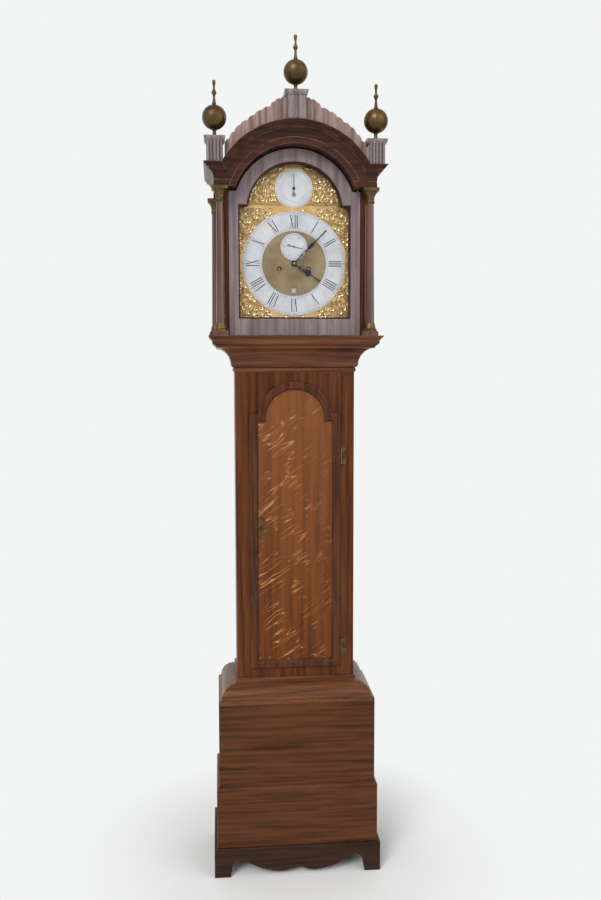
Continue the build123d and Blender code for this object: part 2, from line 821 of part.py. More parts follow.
# Columns: tapered oak shafts on square blocks, free in front and cut to the hood side behind
column_y = front_of(column_x)
rear_column_y = case_back - column_block / 2 - 1.5
column_places = (
    (-column_x, column_y),
    (column_x, column_y),
    (-rear_column_x, rear_column_y),
    (rear_column_x, rear_column_y),
)
block_top = hood_floor + column_block_height
shaft_foot = block_top + column_brass_height
shaft_top = entablature_foot - capital_height
with BuildPart() as hood_columns:
    for x, y in column_places:
        with BuildSketch(Plane.XY.offset(hood_floor)):
            with Locations((x, y)):
                Rectangle(column_block, column_block)
        extrude(amount=column_block_height)
        with BuildSketch(Plane.XY.offset(shaft_foot)):
            with Locations((x, y)):
                Circle(shaft_foot_radius)
        with BuildSketch(Plane.XY.offset(shaft_top)):
            with Locations((x, y)):
                Circle(shaft_top_radius)
        loft()
    with BuildSketch(Plane.XY.offset(hood_floor)):
        with Locations((0, rear_column_y)):
            Rectangle(2 * hood_half, column_block + 2.0)
    extrude(amount=cornice_height + shaft_top - hood_floor, mode=Mode.SUBTRACT)
save(hood_columns, "hood_columns")

# Brass bases and capitals of the columns, turned, each capital under a square abacus
abacus_height = 8.0
with BuildPart() as column_brasses:
    for x, y in column_places:
        with BuildSketch(Plane(origin=(x, y, 0), x_dir=(1, 0, 0), z_dir=(0, -1, 0))):
            with BuildLine():
                foot_wide = column_block / 2 - 1.0
                Polyline(
                    (0, block_top),
                    (foot_wide, block_top),
                    (foot_wide, block_top + 5.0),
                    (foot_wide - 3.0, block_top + 7.0),
                    (shaft_foot_radius + 2.0, shaft_foot - 4.0),
                    (shaft_foot_radius + 1.0, shaft_foot),
                    (0, shaft_foot),
                    (0, block_top),
                )
            make_face()
            with BuildLine():
                bell = abacus / 2 - 2.0
                Polyline(
                    (0, shaft_top),
                    (shaft_top_radius + 1.0, shaft_top),
                    (shaft_top_radius + 2.5, shaft_top + 5.0),
                    (shaft_top_radius + 1.0, shaft_top + 9.0),
                    (shaft_top_radius + 2.0, shaft_top + 18.0),
                    (bell - 2.0, entablature_foot - abacus_height - 3.0),
                    (bell, entablature_foot - abacus_height),
                    (0, entablature_foot - abacus_height),
                    (0, shaft_top),
                )
            make_face()
        revolve(axis=Axis((x, y, 0), (0, 0, 1)), revolution_arc=360)
        with BuildSketch(Plane.XY.offset(entablature_foot - abacus_height)):
            with Locations((x, y)):
                Rectangle(abacus, abacus)
        extrude(amount=abacus_height)
    with BuildSketch(Plane.XY.offset(hood_floor)):
        with Locations((0, rear_column_y)):
            Rectangle(2 * hood_half, column_block + 4.0)
    extrude(amount=entablature_foot - hood_floor, mode=Mode.SUBTRACT)
save(column_brasses, "column_brasses")

# Hood door: an arched frame rebated at the back for the glass, turning on two pivots
glass_lap = 6.0
glass_front = hood_door_back - glass_thickness - 4.0
with BuildPart() as hood_door:
    with BuildSketch(facing(hood_door_back)):
        add(break_arch(hood_door_half_width, hood_door_foot, hood_door_shoulder, hood_door_arch))
        opening = break_arch(sight_half_width, sight_foot, sight_shoulder, sight_radius)
        add(opening, mode=Mode.SUBTRACT)
    extrude(amount=hood_door_thickness)
    sight_edges = hood_door.faces().sort_by(Axis.Y)[0].inner_wires()[0].edges()
    chamfer(sight_edges, 3.0)
    with BuildSketch(facing(hood_door_back)):
        rebate = break_arch(
            sight_half_width + glass_lap + fit_gap,
            sight_foot - glass_lap - fit_gap,
            sight_shoulder + glass_lap + fit_gap,
            sight_radius + glass_lap + fit_gap,
        )
        add(rebate)
    extrude(amount=hood_door_back - glass_front, mode=Mode.SUBTRACT)
save(hood_door, "hood_door")

with BuildPart() as hood_glass:
    with BuildSketch(facing(glass_front + glass_thickness)):
        pane = break_arch(
            sight_half_width + glass_lap,
            sight_foot - glass_lap,
            sight_shoulder + glass_lap,
            sight_radius + glass_lap,
        )
        add(pane)
    extrude(amount=glass_thickness)
save(hood_glass, "hood_glass")

# Brass straps on the door's ends carry the pivot pins, up into the frieze and down into the base
strap_thickness = 1.6
strap_length = 19.0
with BuildPart() as hood_door_pivots:
    for edge, reach, up in (
        (hood_door_foot, pivot_length - 2.0, -1),
        (hood_door_shoulder, pivot_length + entablature_foot - hood_door_shoulder - 2.0, 1),
    ):
        with BuildSketch(Plane.XY.offset(edge)):
            with Locations((hood_door_half_width - strap_length / 2, (hood_door_front + hood_door_back) / 2)):
                Rectangle(strap_length, hood_door_thickness - 4.0)
        extrude(amount=up * strap_thickness)
        with BuildSketch(Plane.XY.offset(edge)):
            with Locations((pivot_x, pivot_y)):
                Circle(pivot_radius)
        extrude(amount=up * reach)
save(hood_door_pivots, "hood_door_pivots")

# Dial: a brass plate with an arch, on four feet that pin to the movement's front plate
hands_place = (0.0, hands_z)
escape_place = (0.0, escape_z)
anchor_place = (0.0, anchor_z)
going_place = (winding_spread, winding_z)
strike_place = (-winding_spread, winding_z)
arch_hand_place = (0.0, arch_disc_z)
dial_shoulder = dial_foot + 2 * dial_half_width
winding_hole = 4.5
square_radius = 3.2
pipe_radius = 4.2
foot_places = [(x, z) for x in (-72.0, 72.0) for z in (plate_foot + 12.0, plate_foot + plate_height - 12.0)]
with BuildPart() as dial_plate:
    with BuildSketch(facing(dial_back)):
        add(break_arch(dial_half_width, dial_foot, dial_shoulder, dial_radius))
        with Locations(going_place, strike_place):
            Circle(winding_hole, mode=Mode.SUBTRACT)
        with Locations(hands_place):
            Circle(pipe_radius + 0.5, mode=Mode.SUBTRACT)
        with Locations(escape_place, arch_hand_place):
            Circle(pivot_pin + running_gap, mode=Mode.SUBTRACT)
        with Locations((0, hands_z - date_below)):
            Rectangle(date_window, date_window, mode=Mode.SUBTRACT)
    extrude(amount=dial_thickness)
    for x, z in foot_places:
        bar(x, z, dial_back, front_plate_y, 3.5)
save(dial_plate, "dial_plate")

# Silvered chapter ring, seconds ring and the disc in the arch
with BuildPart() as silvered_rings:
    with BuildSketch(facing(dial_face)):
        with Locations(hands_place):
            Circle(ring_radius)
            Circle(ring_bore, mode=Mode.SUBTRACT)
        with Locations(escape_place):
            Circle(seconds_radius)
            Circle(pivot_pin + 1.0, mode=Mode.SUBTRACT)
        with Locations(arch_hand_place):
            Circle(arch_disc_radius)
            Circle(pivot_pin + 1.0, mode=Mode.SUBTRACT)
    extrude(amount=ring_thickness)
save(silvered_rings, "silvered_rings")

# Spandrels: pierced gilt castings in the four corners and on both sides of the arch disc
spandrel_gap = 3.0
spandrel_thickness = 2.5
with BuildPart() as spandrels:
    with BuildSketch(facing(dial_face)):
        side = dial_half_width - 2 * spandrel_gap
        with Locations(hands_place):
            Rectangle(2 * side, 2 * side)
            Circle(ring_radius + spandrel_gap, mode=Mode.SUBTRACT)
            Rectangle(2 * side, 0.9 * ring_radius, mode=Mode.SUBTRACT)
            Rectangle(0.9 * ring_radius, 2 * side, mode=Mode.SUBTRACT)
            with PolarLocations(1.12 * ring_radius + 8.0, 4, start_angle=45):
                with GridLocations(0, 26.0, 1, 3):
                    Ellipse(8.0, 4.5, mode=Mode.SUBTRACT)
                with Locations((20.0, 0)):
                    Circle(4.0, mode=Mode.SUBTRACT)
    extrude(amount=spandrel_thickness)
    with BuildSketch(facing(dial_face)):
        with Locations((0, arch_centre_z)):
            Circle(dial_radius - 2 * spandrel_gap)
        with Locations((0, dial_shoulder + spandrel_gap)):
            Rectangle(2 * dial_radius, dial_radius, align=(Align.CENTER, Align.MIN), mode=Mode.INTERSECT)
        with Locations(arch_hand_place):
            Circle(arch_disc_radius + spandrel_gap, mode=Mode.SUBTRACT)
            Rectangle(arch_disc_radius, 3 * arch_disc_radius, mode=Mode.SUBTRACT)
        for side in (-1, 1):
            with Locations((side * 0.68 * dial_radius, dial_shoulder + 22.0)):
                with GridLocations(24.0, 18.0, 2, 2):
                    Ellipse(7.5, 4.0, rotation=side * 40, mode=Mode.SUBTRACT)
    extrude(amount=spandrel_thickness)
save(spandrels, "spandrels")

# Date ring: turns behind the dial and shows one number at a time in the window
date_outer = date_below + 10.0
date_inner = date_below - 12.0
with BuildPart() as date_ring:
    with BuildSketch(facing(dial_back + 3.0)):
        with Locations(hands_place):
            Circle(date_outer)
            Circle(date_inner, mode=Mode.SUBTRACT)
    extrude(amount=1.2)
save(date_ring, "date_ring")

# Hands: blued steel, the hour hand on its pipe, the minute hand on the cannon pipe before it
hand_thickness = 1.2
hour_hand_y = dial_face - 6.0
minute_hand_y = dial_face - 10.0
minute_angle = 45.3
hour_angle = -33.7
seconds_angle = -13.0
minute_reach = 126.0
hour_reach = 87.0
seconds_reach = 26.5
arch_hand_reach = 38.0


def hand(name, place, y, angle, reach, boss, bore, ornament, tail=0.0, tail_ring=0.0):
    """A flat hand pointing at an angle: boss, pierced ornament at half its length, pointer and tail."""
    with BuildPart() as builder:
        with BuildSketch(Plane(origin=(place[0], y, place[1]), x_dir=(1, 0, 0), z_dir=(0, -1, 0))):
            with PolarLocations(0, 1, start_angle=angle):
                Circle(boss)
                with Locations((0.5 * reach, 0)):
                    Rectangle(0.96 * reach, 0.022 * reach + 0.5)
                with Locations((0.97 * reach, 0)):
                    RegularPolygon(0.03 * reach, 3)
                if ornament:
                    with Locations((0.3 * reach, 0), (0.52 * reach, 0)):
                        Ellipse(0.1 * reach, ornament)
                    with Locations((0.3 * reach, 0.45 * ornament), (0.3 * reach, -0.45 * ornament)):
                        Ellipse(0.07 * reach, 0.3 * ornament, mode=Mode.SUBTRACT)
                if tail:
                    with Locations((-0.5 * tail, 0)):
                        Rectangle(tail, 0.03 * reach + 0.4)
                    with Locations((-tail, 0)):
                        Circle(tail_ring)
                        Circle(0.6 * tail_ring, mode=Mode.SUBTRACT)
            Circle(bore, mode=Mode.SUBTRACT)
        extrude(amount=hand_thickness)
    save(builder, name)


cannon_bore = 1.8
cannon_radius = 3.0
hour_pipe_bore = cannon_radius + 0.2
hand("minute_hand", hands_place, minute_hand_y, minute_angle, minute_reach, 7.0, cannon_radius, 5.0)
hand("hour_hand", hands_place, hour_hand_y, hour_angle, hour_reach, 8.0, pipe_radius, 8.0)
hand("seconds_hand", escape_place, dial_face - 3.0, seconds_angle, seconds_reach, 2.6, pivot_pin, 0.0, 15.0, 3.0)
hand("strike_silent_hand", arch_hand_place, dial_face - 3.0, 90.0, arch_hand_reach, 4.0, pivot_pin, 0.0, 16.0, 4.5)

# Motion work: the cannon drives the minute wheel, whose pinion drives the hour wheel twelve times slower
motion_distance = motion_teeth * motion_module
hour_module = motion_distance * 2 / (minute_pinion_teeth + hour_teeth)
motion_back = front_plate_y - 2.0
minute_place = towards(hands_place, motion_distance, -70)
cannon_phase = 0.0
minute_phase = mesh_phase(motion_teeth, minute_place, motion_teeth, cannon_phase, hands_place)
minute_pinion_phase = 0.0
hour_phase = mesh_phase(hour_teeth, hands_place, minute_pinion_teeth, minute_pinion_phase, minute_place)
cannon_front = motion_back - wheel_thickness
with BuildPart() as cannon_wheel:
    with BuildSketch(Plane(origin=(0, motion_back, hands_z), x_dir=(1, 0, 0), z_dir=(0, -1, 0))):
        add(toothed(motion_teeth, motion_module, cannon_phase))
    extrude(amount=wheel_thickness)
    bar(0, hands_z, minute_hand_y - hand_thickness - 2.0, motion_back, cannon_radius)
    bar(0, hands_z, minute_hand_y - 5.0, motion_back + 1.0, cannon_bore, mode=Mode.SUBTRACT)
save(cannon_wheel, "cannon_wheel")

hour_wheel_back = cannon_front - 3.0
with BuildPart() as hour_wheel:
    with BuildSketch(Plane(origin=(0, hour_wheel_back, hands_z), x_dir=(1, 0, 0), z_dir=(0, -1, 0))):
        add(toothed(hour_teeth, hour_module, hour_phase))
    extrude(amount=wheel_thickness)
    bar(0, hands_z, hour_hand_y - hand_thickness, hour_wheel_back, pipe_radius)
    bar(0, hands_z, hour_hand_y - 5.0, hour_wheel_back + 1.0, hour_pipe_bore, mode=Mode.SUBTRACT)
save(hour_wheel, "hour_wheel")

stud_radius = 1.2
with BuildPart() as minute_wheel:
    for teeth, module, phase, back, front in (
        (motion_teeth, motion_module, minute_phase, motion_back, cannon_front),
        (minute_pinion_teeth, hour_module, minute_pinion_phase, cannon_front, hour_wheel_back - wheel_thickness - 1.0),
    ):
        with BuildSketch(Plane(origin=(minute_place[0], back, minute_place[1]), x_dir=(1, 0, 0), z_dir=(0, -1, 0))):
            add(toothed(teeth, module, phase))
            Circle(stud_radius + running_gap, mode=Mode.SUBTRACT)
        extrude(amount=back - front)
save(minute_wheel, "minute_wheel")

# Going train: great wheel, centre wheel, third wheel and escape wheel, each driving the next
third_distance = (centre_teeth + third_pinion_teeth) * centre_module / 2
escape_distance = (third_teeth + escape_pinion_teeth) * third_module / 2
third_up = (third_distance**2 - escape_distance**2 + seconds_above**2) / (2 * seconds_above)
third_place = (sqrt(third_distance**2 - third_up**2), hands_z + third_up)
great_y = plates_inside + 3.0
drum_y = great_y + wheel_thickness + 1.0
third_y = plates_inside + 11.0
centre_y = plates_inside + 51.0
escape_y = plates_inside + 39.0
going_phase = 0.0
centre_pinion_phase = mesh_phase(centre_pinion_teeth, hands_place, great_teeth, going_phase, going_place)
centre_phase = 0.0
third_pinion_phase = mesh_phase(third_pinion_teeth, third_place, centre_teeth, centre_phase, hands_place)
third_phase = 0.0
escape_pinion_phase = mesh_phase(escape_pinion_teeth, escape_place, third_teeth, third_phase, third_place)
with BuildPart() as going_great_wheel:
    with BuildSketch(Plane(origin=(winding_spread, great_y + wheel_thickness, winding_z), x_dir=(1, 0, 0), z_dir=(0, -1, 0))):
        add(toothed(great_teeth, great_module, going_phase))
        Circle(square_radius + running_gap, mode=Mode.SUBTRACT)
    extrude(amount=wheel_thickness)
save(going_great_wheel, "going_great_wheel")

arbor_with_wheel(
    "centre_wheel",
    hands_place,
    (centre_teeth, centre_module, centre_phase, centre_y, centre_y + wheel_thickness),
    (centre_pinion_teeth, great_module, centre_pinion_phase, great_y - 1.0, great_y + wheel_thickness + 1.0),
    extras=((minute_hand_y - hand_thickness - 3.5, front_plate_y, cannon_bore - running_gap),),
)
arbor_with_wheel(
    "third_wheel",
    third_place,
    (third_teeth, third_module, third_phase, third_y, third_y + wheel_thickness),
    (third_pinion_teeth, centre_module, third_pinion_phase, centre_y - 1.0, centre_y + wheel_thickness + 1.0),
)

# Escape wheel: thirty raked teeth, with the seconds hand on its long front pivot
escape_arbor_end = dial_face - 3.0 - hand_thickness - 0.6
with BuildPart() as escape_wheel:
    plane = Plane(origin=(0, escape_y + wheel_thickness, escape_z), x_dir=(1, 0, 0), z_dir=(0, -1, 0))
    with BuildSketch(plane):
        with BuildLine():
            points = []
            for tooth in range(escape_teeth):
                for radius, shift in ((escape_radius, 0.0), (0.8 * escape_radius, 0.12), (0.8 * escape_radius, 0.75)):
                    angle = 2 * pi * (tooth + shift) / escape_teeth
                    points.append((radius * cos(angle), radius * sin(angle)))
            Polyline(points, close=True)
        make_face()
        with PolarLocations(0.48 * escape_radius, 4, start_angle=45):
            Circle(0.22 * escape_radius, mode=Mode.SUBTRACT)
    extrude(amount=wheel_thickness)
    pinion_plane = Plane(origin=(0, third_y + wheel_thickness + 1.0, escape_z), x_dir=(1, 0, 0), z_dir=(0, -1, 0))
    with BuildSketch(pinion_plane):
        add(toothed(escape_pinion_teeth, third_module, escape_pinion_phase))
    extrude(amount=wheel_thickness + 2.0)
    bar(0, escape_z, plates_inside + fit_gap, plates_end - fit_gap, arbor_radius)
    bar(0, escape_z, escape_arbor_end, back_plate_back, pivot_pin)
save(escape_wheel, "escape_wheel")

# Anchor with its two pallets, its arbor to the back cock and the crutch that embraces the rod
pallet_spread = 15.5
crutch_length = 110.0
cock_front = pendulum_y + 10.0
with BuildPart() as anchor:
    with BuildSketch(Plane(origin=(0, escape_y + wheel_thickness + 1.0, anchor_z), x_dir=(1, 0, 0), z_dir=(0, -1, 0))):
        Circle(4.5)
        with BuildLine():
            arch_out = ThreePointArc((-pallet_spread - 3.0, -14.0), (0, 3.0), (pallet_spread + 3.0, -14.0))
            Line(arch_out @ 1, (pallet_spread + 1.2, -14.0))
            arch_in = ThreePointArc((pallet_spread + 1.2, -14.0), (0, -3.0), (-pallet_spread - 1.2, -14.0))
            Line(arch_in @ 1, arch_out @ 0)
        make_face()
    extrude(amount=wheel_thickness + 2.0)
    bar(0, anchor_z, plates_inside + fit_gap, pendulum_y - 6.0, arbor_radius)
    bar(0, anchor_z, front_plate_y, plates_inside + 1.0, pivot_pin)
    bar(0, anchor_z, pendulum_y - 7.0, pendulum_y - 4.0, 4.0)
    with Locations((0, pendulum_y - 6.0, anchor_z - crutch_length)):
        Box(3.0, 2.0, crutch_length, align=(Align.CENTER, Align.CENTER, Align.MIN))
    for side in (-1, 1):
        with Locations((side * (rod_radius + 1.6), pendulum_y - 7.0, anchor_z - crutch_length)):
            Box(2.0, 12.0, 5.0, align=(Align.CENTER, Align.MIN, Align.MIN))
    with Locations((0, pendulum_y - 6.0, anchor_z - crutch_length)):
        Box(2 * rod_radius + 5.2, 2.0, 5.0, align=(Align.CENTER, Align.CENTER, Align.MIN))
save(anchor, "anchor")

# Pendulum: a suspension spring, a rod and a lenticular bob on its rating nut
spring_gap = 0.4
with BuildPart() as pendulum:
    with Locations((0, pendulum_y, anchor_z)):
        Box(8.0, 1.6, 26.0, align=(Align.CENTER, Align.CENTER, Align.MAX))
    with BuildSketch(Plane.XY.offset(anchor_z - 26.0)):
        with Locations((0, pendulum_y)):
            Circle(rod_radius)
    extrude(amount=-(pendulum_length - 26.0 + bob_radius + 20.0))
    bob_z = anchor_z - pendulum_length
    bob_plane = Plane(origin=(0, pendulum_y, bob_z), x_dir=(0, 1, 0), z_dir=(1, 0, 0))
    with BuildSketch(bob_plane):
        with BuildLine():
            edge = 1.5
            crown = ThreePointArc((-edge, bob_radius), (-bob_thickness / 2, 0), (-edge, -bob_radius))
            Polyline(crown @ 1, (0, -bob_radius), (0, bob_radius), crown @ 0)
        make_face()
        mirror(about=Plane.YZ)
        with Locations((0, 0)):
            Rectangle(2 * bob_thickness, bob_radius + 1.0, align=(Align.CENTER, Align.MAX), mode=Mode.SUBTRACT)
    revolve(axis=Axis((0, pendulum_y, bob_z), (0, 1, 0)), revolution_arc=360)
    with BuildSketch(Plane.XY.offset(bob_z - bob_radius - 14.0)):
        with Locations((0, pendulum_y)):
            RegularPolygon(8.0, 6)
    extrude(amount=8.0)
save(pendulum, "pendulum")

# Barrels: grooved drums for the gut, on arbors squared at the front for the winding key
square_side = 2 * square_radius / sqrt(2) - 0.2
flange = 1.6
groove_pitch = 3.2


def barrel(name, place):
    """A grooved drum with flanges, its arbor through the plates and its winding square."""
    x, z = place
    with BuildPart() as builder:
        with BuildSketch(Plane(origin=(x, drum_y, z), x_dir=(0, 1, 0), z_dir=(1, 0, 0))):
            grooves = int((barrel_length - 2 * flange) / groove_pitch)
            pitch = (barrel_length - 2 * flange) / grooves
            with BuildLine():
                points = [(0, 0), (0, barrel_radius + 2.0), (flange, barrel_radius + 2.0), (flange, barrel_radius)]
                for groove in range(grooves):
                    points.append((flange + pitch * (groove + 0.5), barrel_radius - 0.7))
                    points.append((flange + pitch * (groove + 1), barrel_radius))
                end = barrel_length
                points += [(end - flange, barrel_radius + 2.0), (end, barrel_radius + 2.0), (end, 0)]
                Polyline(points, close=True)
            make_face()
        revolve(axis=Axis((x, 0, z), (0, 1, 0)), revolution_arc=360)
        bar(x, z, front_plate_y, back_plate_back, square_radius)
        with Locations((x, dial_face + 1.0, z)):
            Box(square_side, front_plate_y - dial_face, square_side, align=(Align.CENTER, Align.MIN, Align.CENTER))
    save(builder, name)


barrel("going_barrel", going_place)
barrel("strike_barrel", strike_place)

# Strike train: great wheel, pin wheel, gathering wheel and fly
pin_distance = (strike_teeth + pin_pinion_teeth) * strike_module / 2
gathering_distance = (pin_teeth + gathering_pinion_teeth) * pin_module / 2
fly_distance = (gathering_teeth + fly_pinion_teeth) * gathering_module / 2
pin_place = towards(strike_place, pin_distance, 75)
gathering_place = towards(pin_place, gathering_distance, 80)
fly_place = towards(gathering_place, fly_distance, 90)
pin_y = plates_inside + 56.0
gathering_y = plates_inside + 45.0
strike_phase = 0.0
pin_pinion_phase = mesh_phase(pin_pinion_teeth, pin_place, strike_teeth, strike_phase, strike_place)
pin_phase = 0.0
gathering_pinion_phase = mesh_phase(gathering_pinion_teeth, gathering_place, pin_teeth, pin_phase, pin_place)
gathering_phase = 0.0
fly_phase = mesh_phase(fly_pinion_teeth, fly_place, gathering_teeth, gathering_phase, gathering_place)
with BuildPart() as strike_great_wheel:
    with BuildSketch(Plane(origin=(-winding_spread, great_y + wheel_thickness, winding_z), x_dir=(1, 0, 0), z_dir=(0, -1, 0))):
        add(toothed(strike_teeth, strike_module, strike_phase))
        Circle(square_radius + running_gap, mode=Mode.SUBTRACT)
    extrude(amount=wheel_thickness)
save(strike_great_wheel, "strike_great_wheel")
arbor_with_wheel(
    "pin_wheel",
    pin_place,
    (pin_teeth, pin_module, pin_phase, pin_y, pin_y + wheel_thickness),
    (pin_pinion_teeth, strike_module, pin_pinion_phase, great_y - 1.0, great_y + wheel_thickness + 1.0),
)
arbor_with_wheel(
    "gathering_wheel",
    gathering_place,
    (gathering_teeth, gathering_module, gathering_phase, gathering_y, gathering_y + wheel_thickness),
    (gathering_pinion_teeth, pin_module, gathering_pinion_phase, pin_y - 1.0, pin_y + wheel_thickness + 1.0),
)
fly_vane = 30.0
with BuildPart() as fly:
    plane = Plane(origin=(fly_place[0], gathering_y + wheel_thickness + 1.0, fly_place[1]), x_dir=(1, 0, 0), z_dir=(0, -1, 0))
    with BuildSketch(plane):
        add(toothed(fly_pinion_teeth, gathering_module, fly_phase))
    extrude(amount=wheel_thickness + 2.0)
    bar(fly_place[0], fly_place[1], plates_inside + fit_gap, plates_end - fit_gap, arbor_radius)
    bar(fly_place[0], fly_place[1], front_plate_y, back_plate_back, pivot_pin)
    with Locations((fly_place[0], plates_inside + 8.0, fly_place[1])):
        Box(fly_vane, 24.0, 1.0, align=(Align.CENTER, Align.MIN, Align.CENTER))
save(fly, "fly")

# Hammer on its own arbor: the tail lies by the pin wheel and the head under the bell's rim
hammer_place = (-63.0, 1708.0)
bell_place = (-12.0, plate_foot + plate_height + 52.0)
bell_y = plates_inside + 30.0
hammer_y = pin_y - 9.0
with BuildPart() as hammer:
    bar(hammer_place[0], hammer_place[1], plates_inside + fit_gap, plates_end - fit_gap, arbor_radius)
    bar(hammer_place[0], hammer_place[1], front_plate_y, back_plate_back, pivot_pin)
    head = (bell_place[0] - bell_radius - 12.0, bell_place[1] - 6.0)
    with Locations((hammer_place[0], hammer_y, hammer_place[1])):
        Cylinder(5.0, 5.0, rotation=(90, 0, 0))
    lean = degrees(atan2(head[0] - hammer_place[0], head[1] - hammer_place[1]))
    shank = hypot(head[0] - hammer_place[0], head[1] - hammer_place[1])
    with Locations(Location((hammer_place[0], hammer_y, hammer_place[1]), (0, lean, 0))):
        Box(3.0, 3.0, shank, align=(Align.CENTER, Align.CENTER, Align.MIN))
        with Locations((2.0, 0, shank)):
            Cylinder(7.0, 17.0, rotation=(0, 90, 0))
save(hammer, "hammer")

# Bell on its stand above the plates
with BuildPart() as bell:
    with BuildSketch(Plane(origin=(bell_place[0], bell_y + 20.0, bell_place[1]), x_dir=(1, 0, 0), z_dir=(0, -1, 0))):
        with BuildLine():
            Polyline((0, 36.0), (12.0, 36.0), (26.0, 31.0), (32.0, 20.0), (bell_radius - 3.0, 8.0), (bell_radius, 0))
            Polyline((bell_radius, 0), (bell_radius - 3.0, 0), (bell_radius - 6.0, 8.0), (29.0, 19.0), (24.0, 28.0))
            Polyline((24.0, 28.0), (11.0, 33.0), (0, 33.0), (0, 36.0))
        make_face()
    revolve(axis=Axis((bell_place[0], bell_y + 20.0, 0), (0, 0, 1)), revolution_arc=360)
    stand_foot = plate_foot + plate_height - 30.0
    with BuildSketch(Plane.XY.offset(stand_foot)):
        with Locations((bell_place[0], bell_y + 20.0)):
            Rectangle(5.0, 5.0)
    extrude(amount=bell_place[1] + 34.0 - stand_foot)
    with Locations((bell_place[0], plates_end, stand_foot)):
        Box(5.0, plates_end - bell_y - 17.5, 5.0, align=(Align.CENTER, Align.MAX, Align.MIN))
save(bell, "bell")

# Weights: brass-cased cylinders, each under a pulley for the gut
pulley_radius = barrel_radius - 1.0
weight_y = (plates_inside + plates_end) / 2


def weight(name, x):
    """A cased weight with a domed top, its stirrup and its grooved pulley."""
    with BuildPart() as builder:
        with BuildSketch(Plane(origin=(x, weight_y, weight_z), x_dir=(1, 0, 0), z_dir=(0, -1, 0))):
            with BuildLine():
                Polyline(
                    (0, 0),
                    (weight_radius - 2.0, 0),
                    (weight_radius, 2.0),
                    (weight_radius, weight_length),
                    (0.8 * weight_radius, weight_length + 6.0),
                    (0, weight_length + 11.0),
                    (0, 0),
                )
            make_face()
        revolve(axis=Axis((x, weight_y, 0), (0, 0, 1)), revolution_arc=360)
        pulley_z = weight_z + weight_length + 11.0 + pulley_radius + 5.0
        bar(x, pulley_z, weight_y - 3.0, weight_y + 3.0, pulley_radius)
        for side in (-1, 1):
            with Locations((x, weight_y + side * 4.5, weight_z + weight_length)):
                Box(6.0, 2.0, pulley_z + 5.0 - weight_z - weight_length, align=(Align.CENTER, Align.CENTER, Align.MIN))
        bar(x, pulley_z, weight_y - 5.5, weight_y + 5.5, 2.0)
    save(builder, name)


weight("going_weight", winding_spread)
weight("strike_weight", -winding_spread)

# Plates: two brass plates held apart by riveted pillars, with a bearing for every arbor
pillar_radius = 5.0
pillar_places = [(x, z) for x in (-76.0, 76.0) for z in (plate_foot + 26.0, plate_foot + plate_height - 26.0)]
train_places = (
    hands_place, third_place, escape_place, anchor_place, pin_place, gathering_place, fly_place, hammer_place
)


def plate(name, y, pillars, anchor_hole):
    """One plate with its bearings; the back plate carries the pillars."""
    with BuildPart() as builder:
        with BuildSketch(facing(y + plate_thickness)):
            with Locations((0, plate_foot + plate_height / 2)):
                Rectangle(plate_width, plate_height)
            for place in train_places:
                with Locations(place):
                    Circle(anchor_hole if place == anchor_place else pivot_pin + running_gap, mode=Mode.SUBTRACT)
            with Locations(going_place, strike_place):
                Circle(square_radius + running_gap, mode=Mode.SUBTRACT)
        extrude(amount=plate_thickness)
        if pillars:
            for x, z in pillar_places:
                bar(x, z, plates_inside, y, pillar_radius)
        else:
            bar(minute_place[0], minute_place[1], hour_wheel_back - wheel_thickness - 2.0, y, stud_radius)
            bar(0, hands_z, y - 1.0, y + plate_thickness + 1.0, cannon_bore, mode=Mode.SUBTRACT)
    save(builder, name)


plate("front_plate", front_plate_y, False, pivot_pin + running_gap)
plate("back_plate", plates_end, True, arbor_radius + running_gap)

# Back cock: the bracket behind the back plate from which the pendulum hangs
cock_width = 30.0
with BuildPart() as back_cock:
    for side in (-1, 1):
        with Locations((side * (cock_width / 2 - 4.0), back_plate_back, anchor_z + 4.0)):
            Box(8.0, cock_front + 4.0 - back_plate_back, 12.0, align=(Align.CENTER, Align.MIN, Align.MIN))
    with Locations((0, pendulum_y - 3.0, anchor_z + 0.5)):
        Box(cock_width, 10.0, 15.5, align=(Align.CENTER, Align.MIN, Align.MIN))
save(back_cock, "back_cock")
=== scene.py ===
import random
from math import atan2, cos, pi, radians, sin

import bmesh
import bpy
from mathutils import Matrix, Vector


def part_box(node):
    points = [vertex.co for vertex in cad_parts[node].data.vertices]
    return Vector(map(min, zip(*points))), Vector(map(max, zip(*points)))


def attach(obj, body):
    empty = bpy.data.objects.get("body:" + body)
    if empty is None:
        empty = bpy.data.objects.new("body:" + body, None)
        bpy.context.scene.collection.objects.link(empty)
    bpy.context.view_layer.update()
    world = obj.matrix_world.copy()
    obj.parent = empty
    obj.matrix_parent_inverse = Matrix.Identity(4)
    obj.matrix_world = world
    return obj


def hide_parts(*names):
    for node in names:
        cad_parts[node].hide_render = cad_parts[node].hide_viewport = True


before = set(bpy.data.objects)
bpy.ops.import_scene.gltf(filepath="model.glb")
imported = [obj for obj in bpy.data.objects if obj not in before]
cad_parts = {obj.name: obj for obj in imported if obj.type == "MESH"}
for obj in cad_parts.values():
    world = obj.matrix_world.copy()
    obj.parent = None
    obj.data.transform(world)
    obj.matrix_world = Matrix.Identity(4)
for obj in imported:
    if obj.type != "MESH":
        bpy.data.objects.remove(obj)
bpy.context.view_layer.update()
scene = bpy.context.scene
scene.view_settings.view_transform = "Standard"

# The camera stands where the photograph was taken from: a little left of the clock, at the
# height of the trunk door's top, looking slightly down.
camera_data = bpy.data.cameras.new("Camera")
camera_data.sensor_fit = "VERTICAL"
camera_data.sensor_height = 36.0
camera_data.lens = 36.12
camera = bpy.data.objects.new("Camera", camera_data)
camera.location = (-0.209, -2.51625, 1.414)
camera.rotation_euler = (radians(84.74), radians(0.12), radians(-5.2))
scene.collection.objects.link(camera)
scene.camera = camera

